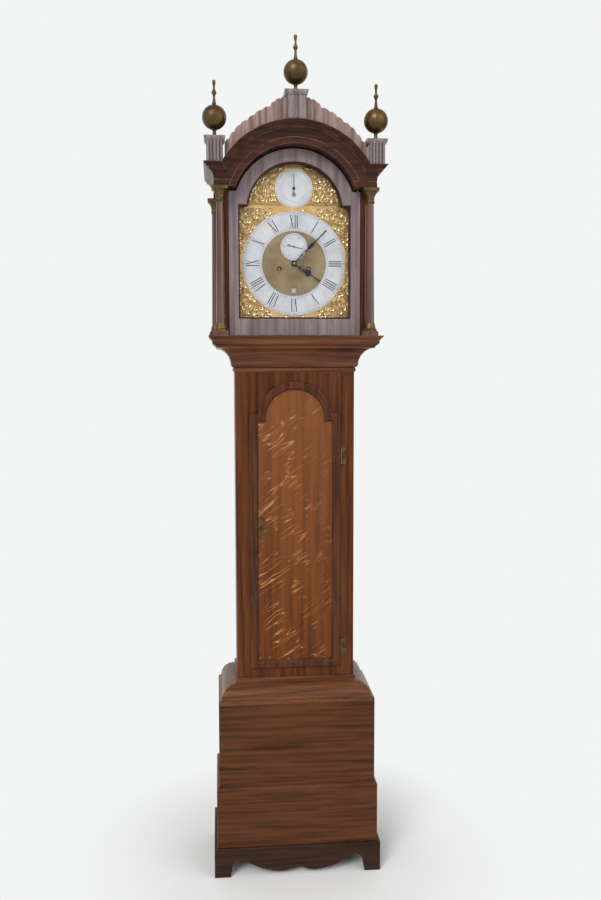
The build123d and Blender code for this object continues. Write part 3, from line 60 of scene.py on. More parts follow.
# Studio: a plain pale sweep behind and under the clock. What the camera, the gloss and the glass
# see of it is one pale tone, and the floor near the clock keeps the clock's shadow.
PALE = (0.895, 0.913, 0.905, 1)
BOUNCE = 0.46


def sun(name, strength, direction, spread):
    """A distant soft lamp shining along a direction."""
    data = bpy.data.lights.new(name, "SUN")
    data.energy = strength
    data.angle = radians(spread)
    lamp = bpy.data.objects.new(name, data)
    lamp.rotation_euler = Vector(direction).to_track_quat("-Z", "Y").to_euler()
    scene.collection.objects.link(lamp)


def worked_out(tree, operation, first, second=None):
    """A math node's value from one or two others; each is a socket or a plain number."""
    node = tree.nodes.new("ShaderNodeMath")
    node.operation = operation
    for socket, value in zip(node.inputs, (first, second)):
        if isinstance(value, bpy.types.NodeSocket):
            tree.links.new(value, socket)
        elif value is not None:
            socket.default_value = value
    return node.outputs[0]


def measured(tree, operation, first, second=None):
    """A vector math node on one or two vectors."""
    node = tree.nodes.new("ShaderNodeVectorMath")
    node.operation = operation
    tree.links.new(first, node.inputs[0])
    if second is not None:
        tree.links.new(second, node.inputs[1])
    return node.outputs


def shaders_mixed(tree, amount, first, second):
    """One shader where the amount is 0 and the other where it is 1."""
    node = tree.nodes.new("ShaderNodeMixShader")
    for value, socket in zip((amount, first, second), node.inputs):
        tree.links.new(value, socket)
    return node.outputs[0]


sun("key", 1.55, (0.5, 0.9, -0.75), 25)
sun("fill", 0.75, (-0.9, 0.8, -0.45), 50)

world = bpy.data.worlds.new("Studio")
world.use_nodes = True
scene.world = world
tree = world.node_tree
tree.nodes.clear()
seen = tree.nodes.new("ShaderNodeLightPath").outputs
straight = worked_out(tree, "MAXIMUM", seen["Is Camera Ray"], seen["Is Glossy Ray"])
watched = worked_out(tree, "MAXIMUM", straight, seen["Is Transmission Ray"])
shown = tree.nodes.new("ShaderNodeBackground")
shown.inputs["Color"].default_value = PALE
lights = tree.nodes.new("ShaderNodeBackground")
lights.inputs["Color"].default_value = (1, 1, 1, 1)
lights.inputs["Strength"].default_value = BOUNCE
sky = tree.nodes.new("ShaderNodeOutputWorld")
tree.links.new(shaders_mixed(tree, watched, lights.outputs[0], shown.outputs[0]), sky.inputs[0])

floor_mesh = bpy.data.meshes.new("floor")
FLOOR = 4
floor_mesh.from_pydata(
    [(-FLOOR, -FLOOR, 0), (FLOOR, -FLOOR, 0), (FLOOR, FLOOR, 0), (-FLOOR, FLOOR, 0)], [], [(0, 1, 2, 3)]
)
floor = bpy.data.objects.new("floor", floor_mesh)
scene.collection.objects.link(floor)
paper = bpy.data.materials.new("pale_paper")
paper.use_nodes = True
tree = paper.node_tree
tree.nodes.clear()
place = tree.nodes.new("ShaderNodeTexCoord")
fade = tree.nodes.new("ShaderNodeMapRange")
fade.interpolation_type = "SMOOTHSTEP"
fade.inputs["From Min"].default_value = 0.2
fade.inputs["From Max"].default_value = 0.75
tree.links.new(measured(tree, "LENGTH", place.outputs["Object"])["Value"], fade.inputs["Value"])
matt = tree.nodes.new("ShaderNodeBsdfDiffuse")
matt.inputs["Color"].default_value = (0.97, 0.98, 0.975, 1)
glow = tree.nodes.new("ShaderNodeEmission")
glow.inputs["Color"].default_value = PALE
swept = shaders_mixed(tree, fade.outputs["Result"], matt.outputs[0], glow.outputs[0])
seen = tree.nodes.new("ShaderNodeLightPath").outputs
end = tree.nodes.new("ShaderNodeOutputMaterial")
tree.links.new(shaders_mixed(tree, seen["Is Camera Ray"], matt.outputs[0], swept), end.inputs[0])
floor_mesh.materials.append(paper)

# The carcase: sides, frame, base and hood boards of oak, planed, stained a dark reddish brown and
# waxed. The grain runs up the stiles and sides and along the rails and the base's boards.


def srgb(red, green, blue):
    """A colour as it is seen, from 0 to 255, as the linear one that shaders take."""
    values = [c / 255 for c in (red, green, blue)]
    return tuple(c / 12.92 if c < 0.04045 else ((c + 0.055) / 1.055) ** 2.4 for c in values) + (1,)


def sockets(group, inputs, outputs):
    """Names a group's inputs and outputs, each with its kind and, for an input, its value."""
    for name, kind, value in inputs:
        group.interface.new_socket(name, in_out="INPUT", socket_type=kind).default_value = value
    for name, kind in outputs:
        group.interface.new_socket(name, in_out="OUTPUT", socket_type=kind)
    return group.nodes.new("NodeGroupInput"), group.nodes.new("NodeGroupOutput")


def noise(tree, vector, scale, detail, rough=0.55):
    """A noise texture's value."""
    node = tree.nodes.new("ShaderNodeTexNoise")
    node.inputs["Scale"].default_value = scale
    node.inputs["Detail"].default_value = detail
    node.inputs["Roughness"].default_value = rough
    tree.links.new(vector, node.inputs["Vector"])
    return node.outputs["Fac"]


def spread(tree, value, low, high, to_low=0.0, to_high=1.0):
    """A value between two levels, stretched over a new range."""
    node = tree.nodes.new("ShaderNodeMapRange")
    for name, number in zip(("From Min", "From Max", "To Min", "To Max"), (low, high, to_low, to_high)):
        node.inputs[name].default_value = number
    tree.links.new(value, node.inputs["Value"])
    return node.outputs["Result"]


def mixed(tree, amount, first, second):
    """Two colours mixed; each is a socket or a plain colour."""
    node = tree.nodes.new("ShaderNodeMix")
    node.data_type = "RGBA"
    for socket, value in ((node.inputs[0], amount), (node.inputs[6], first), (node.inputs[7], second)):
        if isinstance(value, bpy.types.NodeSocket):
            tree.links.new(value, socket)
        else:
            socket.default_value = value
    return node.outputs[2]


grain = bpy.data.node_groups.new("Oak grain", "ShaderNodeTree")
given, result = sockets(
    grain,
    [
        ("Vector", "NodeSocketVector", (0, 0, 0)),
        ("Dark", "NodeSocketColor", srgb(58, 33, 20)),
        ("Light", "NodeSocketColor", srgb(104, 63, 38)),
    ],
    [("Colour", "NodeSocketColor"), ("Roughness", "NodeSocketFloat"), ("Height", "NodeSocketFloat")],
)
bands = noise(grain, given.outputs["Vector"], 1.0, 3.0)
lines = noise(grain, given.outputs["Vector"], 6.0, 5.0, 0.7)
pores = noise(grain, given.outputs["Vector"], 22.0, 2.0, 0.6)
tone = mixed(grain, spread(grain, bands, 0.3, 0.62), given.outputs["Dark"], given.outputs["Light"])
tone = mixed(grain, spread(grain, lines, 0.35, 0.75, 0.0, 0.5), tone, given.outputs["Dark"])
tone = mixed(grain, spread(grain, pores, 0.6, 0.72, 0.0, 0.55), tone, srgb(30, 17, 11))
grain.links.new(tone, result.inputs["Colour"])
grain.links.new(spread(grain, lines, 0.3, 0.75, 0.24, 0.42), result.inputs["Roughness"])
grain.links.new(spread(grain, pores, 0.55, 0.75, 1.0, 0.0), result.inputs["Height"])

# The mask is 1 where an edge turns by enough within the width, and only in patches along it: there a paler
# colour is painted on as rubbed wear and painted highlight.
edge_wear_and_highlight_group = bpy.data.node_groups.new("Rubbed edges with painted highlights", "ShaderNodeTree")
given, result = sockets(edge_wear_and_highlight_group, [("Width", "NodeSocketFloat", 0.0015)], [("Mask", "NodeSocketFloat")])
rounded = edge_wear_and_highlight_group.nodes.new("ShaderNodeBevel")
rounded.samples = 4
edge_wear_and_highlight_group.links.new(given.outputs["Width"], rounded.inputs["Radius"])
flat = edge_wear_and_highlight_group.nodes.new("ShaderNodeNewGeometry")
turn = measured(edge_wear_and_highlight_group, "DOT_PRODUCT", rounded.outputs[0], flat.outputs["Normal"])
where = edge_wear_and_highlight_group.nodes.new("ShaderNodeTexCoord")
FLAT_TURN, EDGE_TURN = 0.995, 0.9
PATCHES_PER_METRE = 30.0
patches = noise(edge_wear_and_highlight_group, where.outputs["Object"], PATCHES_PER_METRE, 3.0)
edge = spread(edge_wear_and_highlight_group, turn["Value"], FLAT_TURN, EDGE_TURN)
both = worked_out(edge_wear_and_highlight_group, "MULTIPLY", edge, spread(edge_wear_and_highlight_group, patches, 0.35, 0.6))
edge_wear_and_highlight_group.links.new(both, result.inputs["Mask"])


def new_finish(name):
    """A material with its shader and its Object coordinates."""
    material = bpy.data.materials.new(name)
    material.use_nodes = True
    tree = material.node_tree
    place = tree.nodes.new("ShaderNodeTexCoord")
    return material, tree, tree.nodes["Principled BSDF"], place.outputs["Object"]


def mapped(tree, vector, scale, rotation=(0, 0, 0)):
    """Coordinates turned, then scaled."""
    for name, value in (("Rotation", rotation), ("Scale", scale)):
        node = tree.nodes.new("ShaderNodeMapping")
        node.inputs[name].default_value = value
        tree.links.new(vector, node.inputs["Vector"])
        vector = node.outputs["Vector"]
    return vector


def round_the_case(tree, vector):
    """Coordinates whose first runs along the front and on along the sides, as mitred boards do."""
    parts = tree.nodes.new("ShaderNodeSeparateXYZ")
    tree.links.new(vector, parts.inputs[0])
    joined = tree.nodes.new("ShaderNodeCombineXYZ")
    tree.links.new(worked_out(tree, "ADD", parts.outputs["X"], parts.outputs["Y"]), joined.inputs["X"])
    tree.links.new(parts.outputs["Z"], joined.inputs["Z"])
    return joined.outputs[0]


def bumped(tree, shader, height, strength, distance):
    """A bump from a height, fed to a shader's normal."""
    node = tree.nodes.new("ShaderNodeBump")
    node.inputs["Strength"].default_value = strength
    node.inputs["Distance"].default_value = distance
    tree.links.new(height, node.inputs["Height"])
    tree.links.new(node.outputs["Normal"], shader.inputs["Normal"])


WAXED_SHEEN = 0.12


def grained(tree, shader, vector, dark, light):
    """Oak between two colours: the group's outputs, with its roughness and sheen set on a shader."""
    wood = tree.nodes.new("ShaderNodeGroup")
    wood.node_tree = grain
    wood.inputs["Dark"].default_value = dark
    wood.inputs["Light"].default_value = light
    tree.links.new(vector, wood.inputs["Vector"])
    tree.links.new(wood.outputs["Roughness"], shader.inputs["Roughness"])
    shader.inputs["Specular IOR Level"].default_value = WAXED_SHEEN
    return wood.outputs


# Noise scales per metre: few streaks along the grain and many across it.
ALONG = {"x": (4, 90, 90), "z": (90, 90, 4)}


def oak_finish(name, dark, light, along, coat=0.25, edge=srgb(150, 104, 72), edge_wear_and_highlight=0.5):
    """Stained and waxed oak whose grain runs along an axis, with a paler colour along its edges for rubbed
    wear and a painted highlight.
    """
    material, tree, shader, place = new_finish(name)
    if along == "x":
        place = round_the_case(tree, place)
    wood = grained(tree, shader, mapped(tree, place, ALONG[along]), dark, light)
    # Rubbed wear and a painted highlight: the paler edge colour is laid along the edges.
    edge_wear_and_highlight_node = tree.nodes.new("ShaderNodeGroup")
    edge_wear_and_highlight_node.node_tree = edge_wear_and_highlight_group
    amount = spread(tree, edge_wear_and_highlight_node.outputs["Mask"], 0.0, 1.0, 0.0, edge_wear_and_highlight)
    tree.links.new(mixed(tree, amount, wood["Colour"], edge), shader.inputs["Base Color"])
    shader.inputs["Coat Weight"].default_value = coat
    shader.inputs["Coat Roughness"].default_value = 0.18
    bumped(tree, shader, wood["Height"], 0.25, 0.0004)
    return material


def wear(material, *names):
    """Gives CAD nodes a finish."""
    for name in names:
        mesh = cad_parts[name].data
        mesh.materials.clear()
        mesh.materials.append(material)


upright_oak = oak_finish("oak_upright", srgb(62, 29, 12), srgb(108, 60, 32), "z", coat=0.04)
level_oak = oak_finish("oak_level", srgb(58, 32, 17), srgb(100, 60, 34), "x", coat=0.03, edge_wear_and_highlight=0.9)
plain_oak = oak_finish("oak_inside", srgb(96, 68, 42), srgb(150, 112, 74), "z", coat=0.0, edge_wear_and_highlight=0.2)
wear(upright_oak, "trunk_sides", "trunk_front", "hood_sides")
wear(level_oak, "base_boards", "base_skirting")
wear(plain_oak, "backboard", "seatboard", "hood_roof")

# The bracket feet and plinth boards, darker than the rest of the case.
plinth_oak = oak_finish("oak_plinth", srgb(36, 23, 16), srgb(66, 44, 30), "x", coat=0.0)
wear(plinth_oak, "bracket_feet")

# Run mouldings at the waist, throat and hood base, polished. Their light grain tone is raised to stand in
# for a painted highlight, and a paler line is painted along their edges as highlight and rubbed wear.
moulding_oak_painted_highlight = oak_finish("oak_moulding", srgb(58, 28, 14), srgb(128, 78, 50), "x", coat=0.2, edge_wear_and_highlight=0.9)
wear(moulding_oak_painted_highlight, "waist_moulding", "throat_mouldings", "hood_base")

# The trunk door: one wide quarter-sawn board whose medullary rays show as pale golden flecks that
# sweep up to the right, with a planted bead round it, brass hinges, an iron lock and a brass keyhole.
BOARD_SCALE = (70, 70, 3)
FLECK_SCALE = (9, 30, 62)
FLECK_SLANT = radians(34)
FLECK_CORE, FLECK_RIM = 0.004, 0.022
CLUSTER_SCALE = (26, 26, 16)


def figured_finish():
    """Quarter-sawn oak with its flecks."""
    material, tree, shader, place = new_finish("oak_figured")
    wood = grained(tree, shader, mapped(tree, place, BOARD_SCALE), srgb(78, 38, 15), srgb(118, 64, 28))
    bend = tree.nodes.new("ShaderNodeTexNoise")
    bend.inputs["Scale"].default_value = 9.0
    tree.links.new(place, bend.inputs["Vector"])
    slanted = mapped(tree, place, FLECK_SCALE, (0, FLECK_SLANT, 0))
    wander = measured(tree, "ADD", slanted, bend.outputs["Color"])["Vector"]
    ridge = worked_out(tree, "SUBTRACT", noise(tree, wander, 1.0, 1.0), 0.5)
    thin = spread(tree, worked_out(tree, "ABSOLUTE", ridge), FLECK_CORE, FLECK_RIM, 0.9, 0.0)
    scattered = spread(tree, noise(tree, mapped(tree, place, CLUSTER_SCALE), 1.0, 2.0), 0.44, 0.6)
    flecks = worked_out(tree, "MULTIPLY", thin, scattered)
    sides = tree.nodes.new("ShaderNodeSeparateXYZ")
    tree.links.new(place, sides.inputs[0])
    fades = spread(tree, sides.outputs["X"], -0.03, 0.09, 1.0, 0.3)
    strength = worked_out(tree, "MULTIPLY", flecks, fades)
    colour = mixed(tree, strength, wood["Colour"], srgb(204, 144, 80))
    # The board's colour turns paler towards its top.
    height_tone = spread(tree, sides.outputs["Z"], 0.6, 1.35, 0.0, 0.3)
    colour = mixed(tree, height_tone, colour, srgb(170, 112, 72))
    tree.links.new(colour, shader.inputs["Base Color"])
    shader.inputs["Coat Weight"].default_value = 0.03
    shader.inputs["Coat Roughness"].default_value = 0.2
    bumped(tree, shader, wood["Height"], 0.2, 0.0003)
    return material


bead_oak = oak_finish("oak_bead", srgb(52, 25, 13), srgb(98, 56, 34), "z", coat=0.1, edge_wear_and_highlight=0.9)
wear(figured_finish(), "trunk_door")
wear(bead_oak, "trunk_door_bead")


POLISH_SCALE = (900, 900, 60)


def metal_finish(name, bright, dull, rough, tarnish=0.5, size=40.0, metallic=1.0):
    """Metal gone dull in patches, with fine polishing marks."""
    material, tree, shader, place = new_finish(name)
    cloud = noise(tree, place, size, 5.0, 0.65)
    amount = spread(tree, cloud, 0.35, 0.7, 0.0, tarnish)
    tree.links.new(mixed(tree, amount, bright, dull), shader.inputs["Base Color"])
    tree.links.new(spread(tree, cloud, 0.3, 0.7, rough, rough + 0.18), shader.inputs["Roughness"])
    shader.inputs["Metallic"].default_value = metallic
    marks = noise(tree, mapped(tree, place, POLISH_SCALE), 1.0, 2.0)
    bumped(tree, shader, marks, 0.08, 0.0002)
    return material


brass = metal_finish("brass_old", srgb(178, 148, 92), srgb(110, 84, 50), 0.26)
polished_brass = metal_finish("brass_polished", srgb(214, 180, 112), srgb(160, 126, 70), 0.16, 0.35)
iron = metal_finish("iron_dark", srgb(92, 88, 84), srgb(60, 48, 40), 0.4)
bolt_steel = metal_finish("steel_bright", srgb(168, 168, 168), srgb(110, 106, 100), 0.24)
dark_brass = metal_finish("brass_dark", srgb(118, 96, 60), srgb(56, 44, 28), 0.34, 0.9)
wear(dark_brass, "trunk_frame_hinges", "trunk_door_hinges", "escutcheon")
wear(iron, "trunk_door_lock")
wear(bolt_steel, "trunk_lock_bolt")

# The hood: a sliding box of oak with a sunk mask, a frieze and a heavy mitred cornice that follows
# the arch. Its mouldings are stained nearly black-brown, with a bright line painted along each edge as
# highlight and rubbed wear.
hood_oak = oak_finish(
    "oak_hood", srgb(50, 28, 20), srgb(92, 56, 42), "x", coat=0.2, edge=srgb(176, 150, 136), edge_wear_and_highlight=0.9
)
cornice_oak = oak_finish(
    "oak_cornice", srgb(36, 20, 15), srgb(84, 46, 32), "x", coat=0.08, edge=srgb(176, 150, 140), edge_wear_and_highlight=0.9
)
wear(hood_oak, "hood_frieze", "hood_mask")
wear(cornice_oak, "hood_cornice")

# Cresting board and finial plinths: sawn oak, bleached by light to a grey-pink brown; the plinths
# are reeded. The finials are turned and patinated brass balls with slender spires.
pale_oak = oak_finish("oak_bleached", srgb(114, 87, 80), srgb(184, 161, 153), "z", coat=0.2, edge_wear_and_highlight=0.4)
reeded_oak = oak_finish("oak_reeded", srgb(98, 85, 84), srgb(166, 154, 153), "z", coat=0.2, edge_wear_and_highlight=0.7)
finial_bronze = metal_finish("bronze_patinated", srgb(104, 84, 54), srgb(50, 38, 26), 0.32, 0.9, 28.0)
wear(pale_oak, "cresting_board")
wear(reeded_oak, "finial_plinths")
wear(finial_bronze, "finials")

# The cresting board in its true outline: small scallops stepping down from the middle plinth.


def from_faces(name, vertices, faces, material):
    """A mesh object at the origin."""
    mesh = bpy.data.meshes.new(name)
    mesh.from_pydata(vertices, [], faces)
    mesh.materials.append(material)
    piece = bpy.data.objects.new(name, mesh)
    scene.collection.objects.link(piece)
    return piece


CREST_FRONT, CREST_BACK = (corner.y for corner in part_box("cresting_board"))
CREST_TOP = (
    (0.026, 2.112),
    (0.038, 2.109),
    (0.055, 2.101),
    (0.066, 2.088),
    (0.088, 2.079),
    (0.108, 2.066),
    (0.126, 2.052),
    (0.144, 2.041),
    (0.160, 2.023),
    (0.174, 2.006),
    (0.186, 1.988),
)
ARCH_CENTRE_Z = 1.829
CREST_INNER_RADIUS = 0.2235
SCALLOP_SWELL = 0.0026
SCALLOP_STEPS = 5
THINNEST = 0.001
outline = [(0.0, CREST_TOP[0][1])]
for (x0, z0), (x1, z1) in zip(CREST_TOP, CREST_TOP[1:]):
    for part in range(SCALLOP_STEPS):
        t = part / SCALLOP_STEPS
        swell = SCALLOP_SWELL * sin(pi * t)
        outline.append((x0 + (x1 - x0) * t + swell, z0 + (z1 - z0) * t + swell))
outline.append(CREST_TOP[-1])
crest_vertices, crest_faces = [], []
for side in (-1, 1):
    start = len(crest_vertices)
    for x, z in outline:
        low = min(ARCH_CENTRE_Z + (CREST_INNER_RADIUS**2 - x**2) ** 0.5, z - THINNEST)
        for y in (CREST_FRONT, CREST_BACK):
            crest_vertices += [(side * x, y, z), (side * x, y, low)]
    for at in range(len(outline) - 1):
        a = start + 4 * at
        b = a + 4
        quads = [
            (a, a + 1, b + 1, b),
            (a + 2, b + 2, b + 3, a + 3),
            (a, b, b + 2, a + 2),
            (a + 1, a + 3, b + 3, b + 1),
        ]
        crest_faces += quads if side > 0 else [quad[::-1] for quad in quads]
    last = start + 4 * (len(outline) - 1)
    ends = (last, last + 1, last + 3, last + 2)
    crest_faces.append(ends if side > 0 else ends[::-1])
cresting = from_faces("cresting", crest_vertices, crest_faces, pale_oak)
close = bmesh.new()
close.from_mesh(cresting.data)
bmesh.ops.remove_doubles(close, verts=close.verts, dist=0.00001)
bmesh.ops.recalc_face_normals(close, faces=close.faces)
close.to_mesh(cresting.data)
close.free()
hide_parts("cresting_board")
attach(cresting, "hood")

# Reeds worked on the front and sides of each finial plinth.
reed_vertices, reed_faces = [], []


def reed(x, y, low, high, radius):
    """One upright round reed with its ends closed."""
    steps = 8
    start = len(reed_vertices)
    for level in (low, high):
        for step in range(steps):
            angle = 2 * pi * step / steps
            reed_vertices.append((x + radius * cos(angle), y + radius * sin(angle), level))
    for step in range(steps):
        a, b = start + step, start + (step + 1) % steps
        reed_faces.append((a, b, b + steps, a + steps))
    reed_faces.append(tuple(start + step for step in range(steps))[::-1])
    reed_faces.append(tuple(start + steps + step for step in range(steps)))


PLINTH_CAP_STAND = 0.006
PLINTH_BLOCK_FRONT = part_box("finial_plinths")[0].y + PLINTH_CAP_STAND
FINIAL_X = 0.212
REED_RADIUS, REED_SUNK = 0.0031, 0.0006
REEDS = 5
for middle, width, low, high in (
    (-FINIAL_X, 0.043, 1.944, 1.9955),
    (FINIAL_X, 0.043, 1.944, 1.9955),
    (0.0, 0.050, 2.056, 2.1145),
):
    for count in range(REEDS):
        across = (count - REEDS // 2) * width / REEDS
        reed(middle + across, PLINTH_BLOCK_FRONT + REED_SUNK, low, high, REED_RADIUS)
reeds = from_faces("plinth_reeds", reed_vertices, reed_faces, reeded_oak)
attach(reeds, "hood")

# Finials: a hollow ball on a waisted stem, with a spire of two knops, spun and turned in brass.
FINIAL_STEM = [
    (0.0, 0.0),
    (0.0085, 0.0),
    (0.0085, 0.002),
    (0.0050, 0.006),
    (0.0046, 0.014),
    (0.0060, 0.019),
]
BALL_MIDDLE, BALL_RADIUS, BALL_STEPS = 0.0505, 0.0318, 16
FINIAL_TALL = 0.145
FINIAL_SPIRE = [
    (0.0056, 0.0835),
    (0.0042, 0.090),
    (0.0030, 0.100),
    (0.0034, 0.106),
    (0.0062, 0.111),
    (0.0066, 0.1135),
    (0.0050, 0.117),
    (0.0027, 0.121),
    (0.0029, 0.130),
    (0.0042, 0.136),
    (0.0046, 0.1405),
    (0.0034, 0.144),
    (0.0, FINIAL_TALL),
]
ball = []
for step in range(1, BALL_STEPS):
    angle = -pi / 2 + pi * step / BALL_STEPS
    ball.append((BALL_RADIUS * cos(angle), BALL_MIDDLE + BALL_RADIUS * sin(angle)))
shape = FINIAL_STEM + ball + FINIAL_SPIRE
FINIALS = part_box("finials")
finial_y = (FINIALS[0].y + FINIALS[1].y) / 2
finial_vertices, finial_faces = [], []
turns = 32
for x, foot in (
    (-FINIAL_X, FINIALS[0].z),
    (FINIAL_X, FINIALS[0].z),
    (0.0, FINIALS[1].z - FINIAL_TALL),
):
    rings = []
    for reach, rise in shape:
        if reach == 0.0:
            rings.append([len(finial_vertices)] * turns)
            finial_vertices.append((x, finial_y, foot + rise))
            continue
        rings.append([len(finial_vertices) + step for step in range(turns)])
        for step in range(turns):
            angle = 2 * pi * step / turns
            finial_vertices.append((x + reach * cos(angle), finial_y + reach * sin(angle), foot + rise))
    for lower, upper in zip(rings, rings[1:]):
        for step in range(turns):
            face = [lower[step], lower[(step + 1) % turns], upper[(step + 1) % turns], upper[step]]
            finial_faces.append(tuple(dict.fromkeys(face)))
turned = from_faces("turned_finials", finial_vertices, finial_faces, finial_bronze)
turned.data.polygons.foreach_set("use_smooth", [True] * len(turned.data.polygons))
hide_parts("finials")
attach(turned, "hood")

# Columns: turned, ebonised brown and polished bright, with square blocks, brass caps and bases.
column_oak = oak_finish("oak_column", srgb(56, 30, 22), srgb(114, 72, 56), "z", coat=1.0, edge_wear_and_highlight=0.3)
wear(column_oak, "hood_columns")
wear(dark_brass, "column_brasses")

# Hood door: a flush frame, glazed with one thin pane, on brass pivots. Its pale grey-pink colour partly
# holds its cool grey sheen painted in, under a real gloss coat, and a pale line is painted along its edges
# as highlight and rubbed wear.
hood_door_oak_painted_sheen = oak_finish(
    "oak_hood_door_painted_sheen",
    srgb(110, 93, 94),
    srgb(156, 140, 144),
    "z",
    coat=0.6,
    edge=srgb(190, 176, 176),
    edge_wear_and_highlight=0.9,
)
wear(hood_door_oak_painted_sheen, "hood_door")
wear(brass, "hood_door_pivots")
SIGHT_HALF, SIGHT_FOOT = 0.149, 1.546
SHOULDER_Z = 1.8435
SIGHT_RADIUS = 0.1275
SIGHT_STEPS = 32
sight = [(-SIGHT_HALF, SIGHT_FOOT), (SIGHT_HALF, SIGHT_FOOT), (SIGHT_HALF, SHOULDER_Z)]
shoulder_rise = SHOULDER_Z - ARCH_CENTRE_Z
start_turn = atan2(shoulder_rise, (SIGHT_RADIUS**2 - shoulder_rise**2) ** 0.5)
for step in range(SIGHT_STEPS + 1):
    angle = start_turn + (pi - 2 * start_turn) * step / SIGHT_STEPS
    sight.append((SIGHT_RADIUS * cos(angle), ARCH_CENTRE_Z + SIGHT_RADIUS * sin(angle)))
sight.append((-SIGHT_HALF, SHOULDER_Z))


def settled(name, holder):
    """The mesh piece that a curve or a tree on a holder makes; the holder goes."""
    scene.collection.objects.link(holder)
    mesh = bpy.data.meshes.new_from_object(holder.evaluated_get(bpy.context.evaluated_depsgraph_get()))
    bpy.data.objects.remove(holder)
    piece = bpy.data.objects.new(name, mesh)
    scene.collection.objects.link(piece)
    return piece


sight_curve = bpy.data.curves.new("sight_bead", "CURVE")
sight_curve.dimensions = "3D"
sight_curve.bevel_depth = 0.0026
sight_curve.bevel_resolution = 3
line = sight_curve.splines.new("POLY")
line.points.add(len(sight) - 1)
BEAD_SUNK = 0.0012
SIGHT_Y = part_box("hood_door")[0].y + BEAD_SUNK
for point, (x, z) in zip(line.points, sight):
    point.co = (x, SIGHT_Y, z, 1)
line.use_cyclic_u = True
sight_bead = settled("sight_bead", bpy.data.objects.new("holder", sight_curve))
sight_bead.data.materials.clear()
sight_bead.data.materials.append(cornice_oak)
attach(sight_bead, "hood_door")
pane, tree, shader, place = new_finish("window_glass")
shader.inputs["Base Color"].default_value = (1, 1, 1, 1)
shader.inputs["Transmission Weight"].default_value = 1.0
shader.inputs["IOR"].default_value = 1.12
dust = noise(tree, place, 60.0, 3.0)
tree.links.new(spread(tree, dust, 0.5, 0.8, 0.0, 0.04), shader.inputs["Roughness"])
bumped(tree, shader, noise(tree, place, 9.0, 2.0), 0.1, 0.001)
wear(pane, "hood_glass")

# The dial: a brass plate with a matted centre, polished at the margins and under the arch.
HANDS_Z = 1.694
MATTED_RADIUS = 0.0885
dial_brass, tree, shader, place = new_finish("brass_dial")
sides = tree.nodes.new("ShaderNodeSeparateXYZ")
tree.links.new(place, sides.inputs[0])
flatten = tree.nodes.new("ShaderNodeCombineXYZ")
tree.links.new(sides.outputs["X"], flatten.inputs["X"])
tree.links.new(spread(tree, sides.outputs["Z"], 0.0, 2.0, -HANDS_Z, 2.0 - HANDS_Z), flatten.inputs["Z"])
distance = measured(tree, "LENGTH", flatten.outputs[0])
outside = spread(tree, distance["Value"], MATTED_RADIUS, MATTED_RADIUS + 0.001)
stipple = noise(tree, place, 900.0, 2.0)
cloud = noise(tree, place, 25.0, 4.0)
matted = mixed(tree, spread(tree, cloud, 0.3, 0.7), srgb(122, 106, 80), srgb(156, 138, 108))
bright = mixed(tree, spread(tree, cloud, 0.35, 0.7), srgb(222, 188, 128), srgb(196, 158, 96))
tree.links.new(mixed(tree, outside, matted, bright), shader.inputs["Base Color"])
tree.links.new(spread(tree, outside, 0.0, 1.0, 0.5, 0.25), shader.inputs["Roughness"])
shader.inputs["Metallic"].default_value = 0.75
bumped(tree, shader, stipple, 0.35, 0.0003)
wear(dial_brass, "dial_plate")

# Silvered brass: the chapter ring, seconds ring, arch disc and date ring. Their lines and figures
# are engraved and filled with black wax; here each is a hair's breadth of wax on the silver.
silver = metal_finish("silvered_brass", srgb(212, 212, 216), srgb(178, 182, 192), 0.32, 0.8, 22.0, 0.55)
wear(silver, "silvered_rings", "date_ring")
wax, tree, shader, place = new_finish("black_wax")
waxed = mixed(tree, noise(tree, place, 300.0, 2.0), srgb(34, 34, 40), srgb(70, 70, 80))
tree.links.new(waxed, shader.inputs["Base Color"])
shader.inputs["Roughness"].default_value = 0.45
SECONDS_Z = 1.739
DISC_Z = 1.894
RING_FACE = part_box("silvered_rings")[0].y
WAX_DEPTH = 0.00012


def slab(vertices, faces, corners, front, back):
    """Adds a flat four-cornered piece lying in the dial's plane; corners run anticlockwise."""
    start = len(vertices)
    vertices += [(x, front, z) for x, z in corners] + [(x, back, z) for x, z in corners]
    faces += [(start, start + 1, start + 2, start + 3), (start + 7, start + 6, start + 5, start + 4)]
    for a, b in ((0, 1), (1, 2), (2, 3), (3, 0)):
        faces.append((start + b, start + a, start + a + 4, start + b + 4))


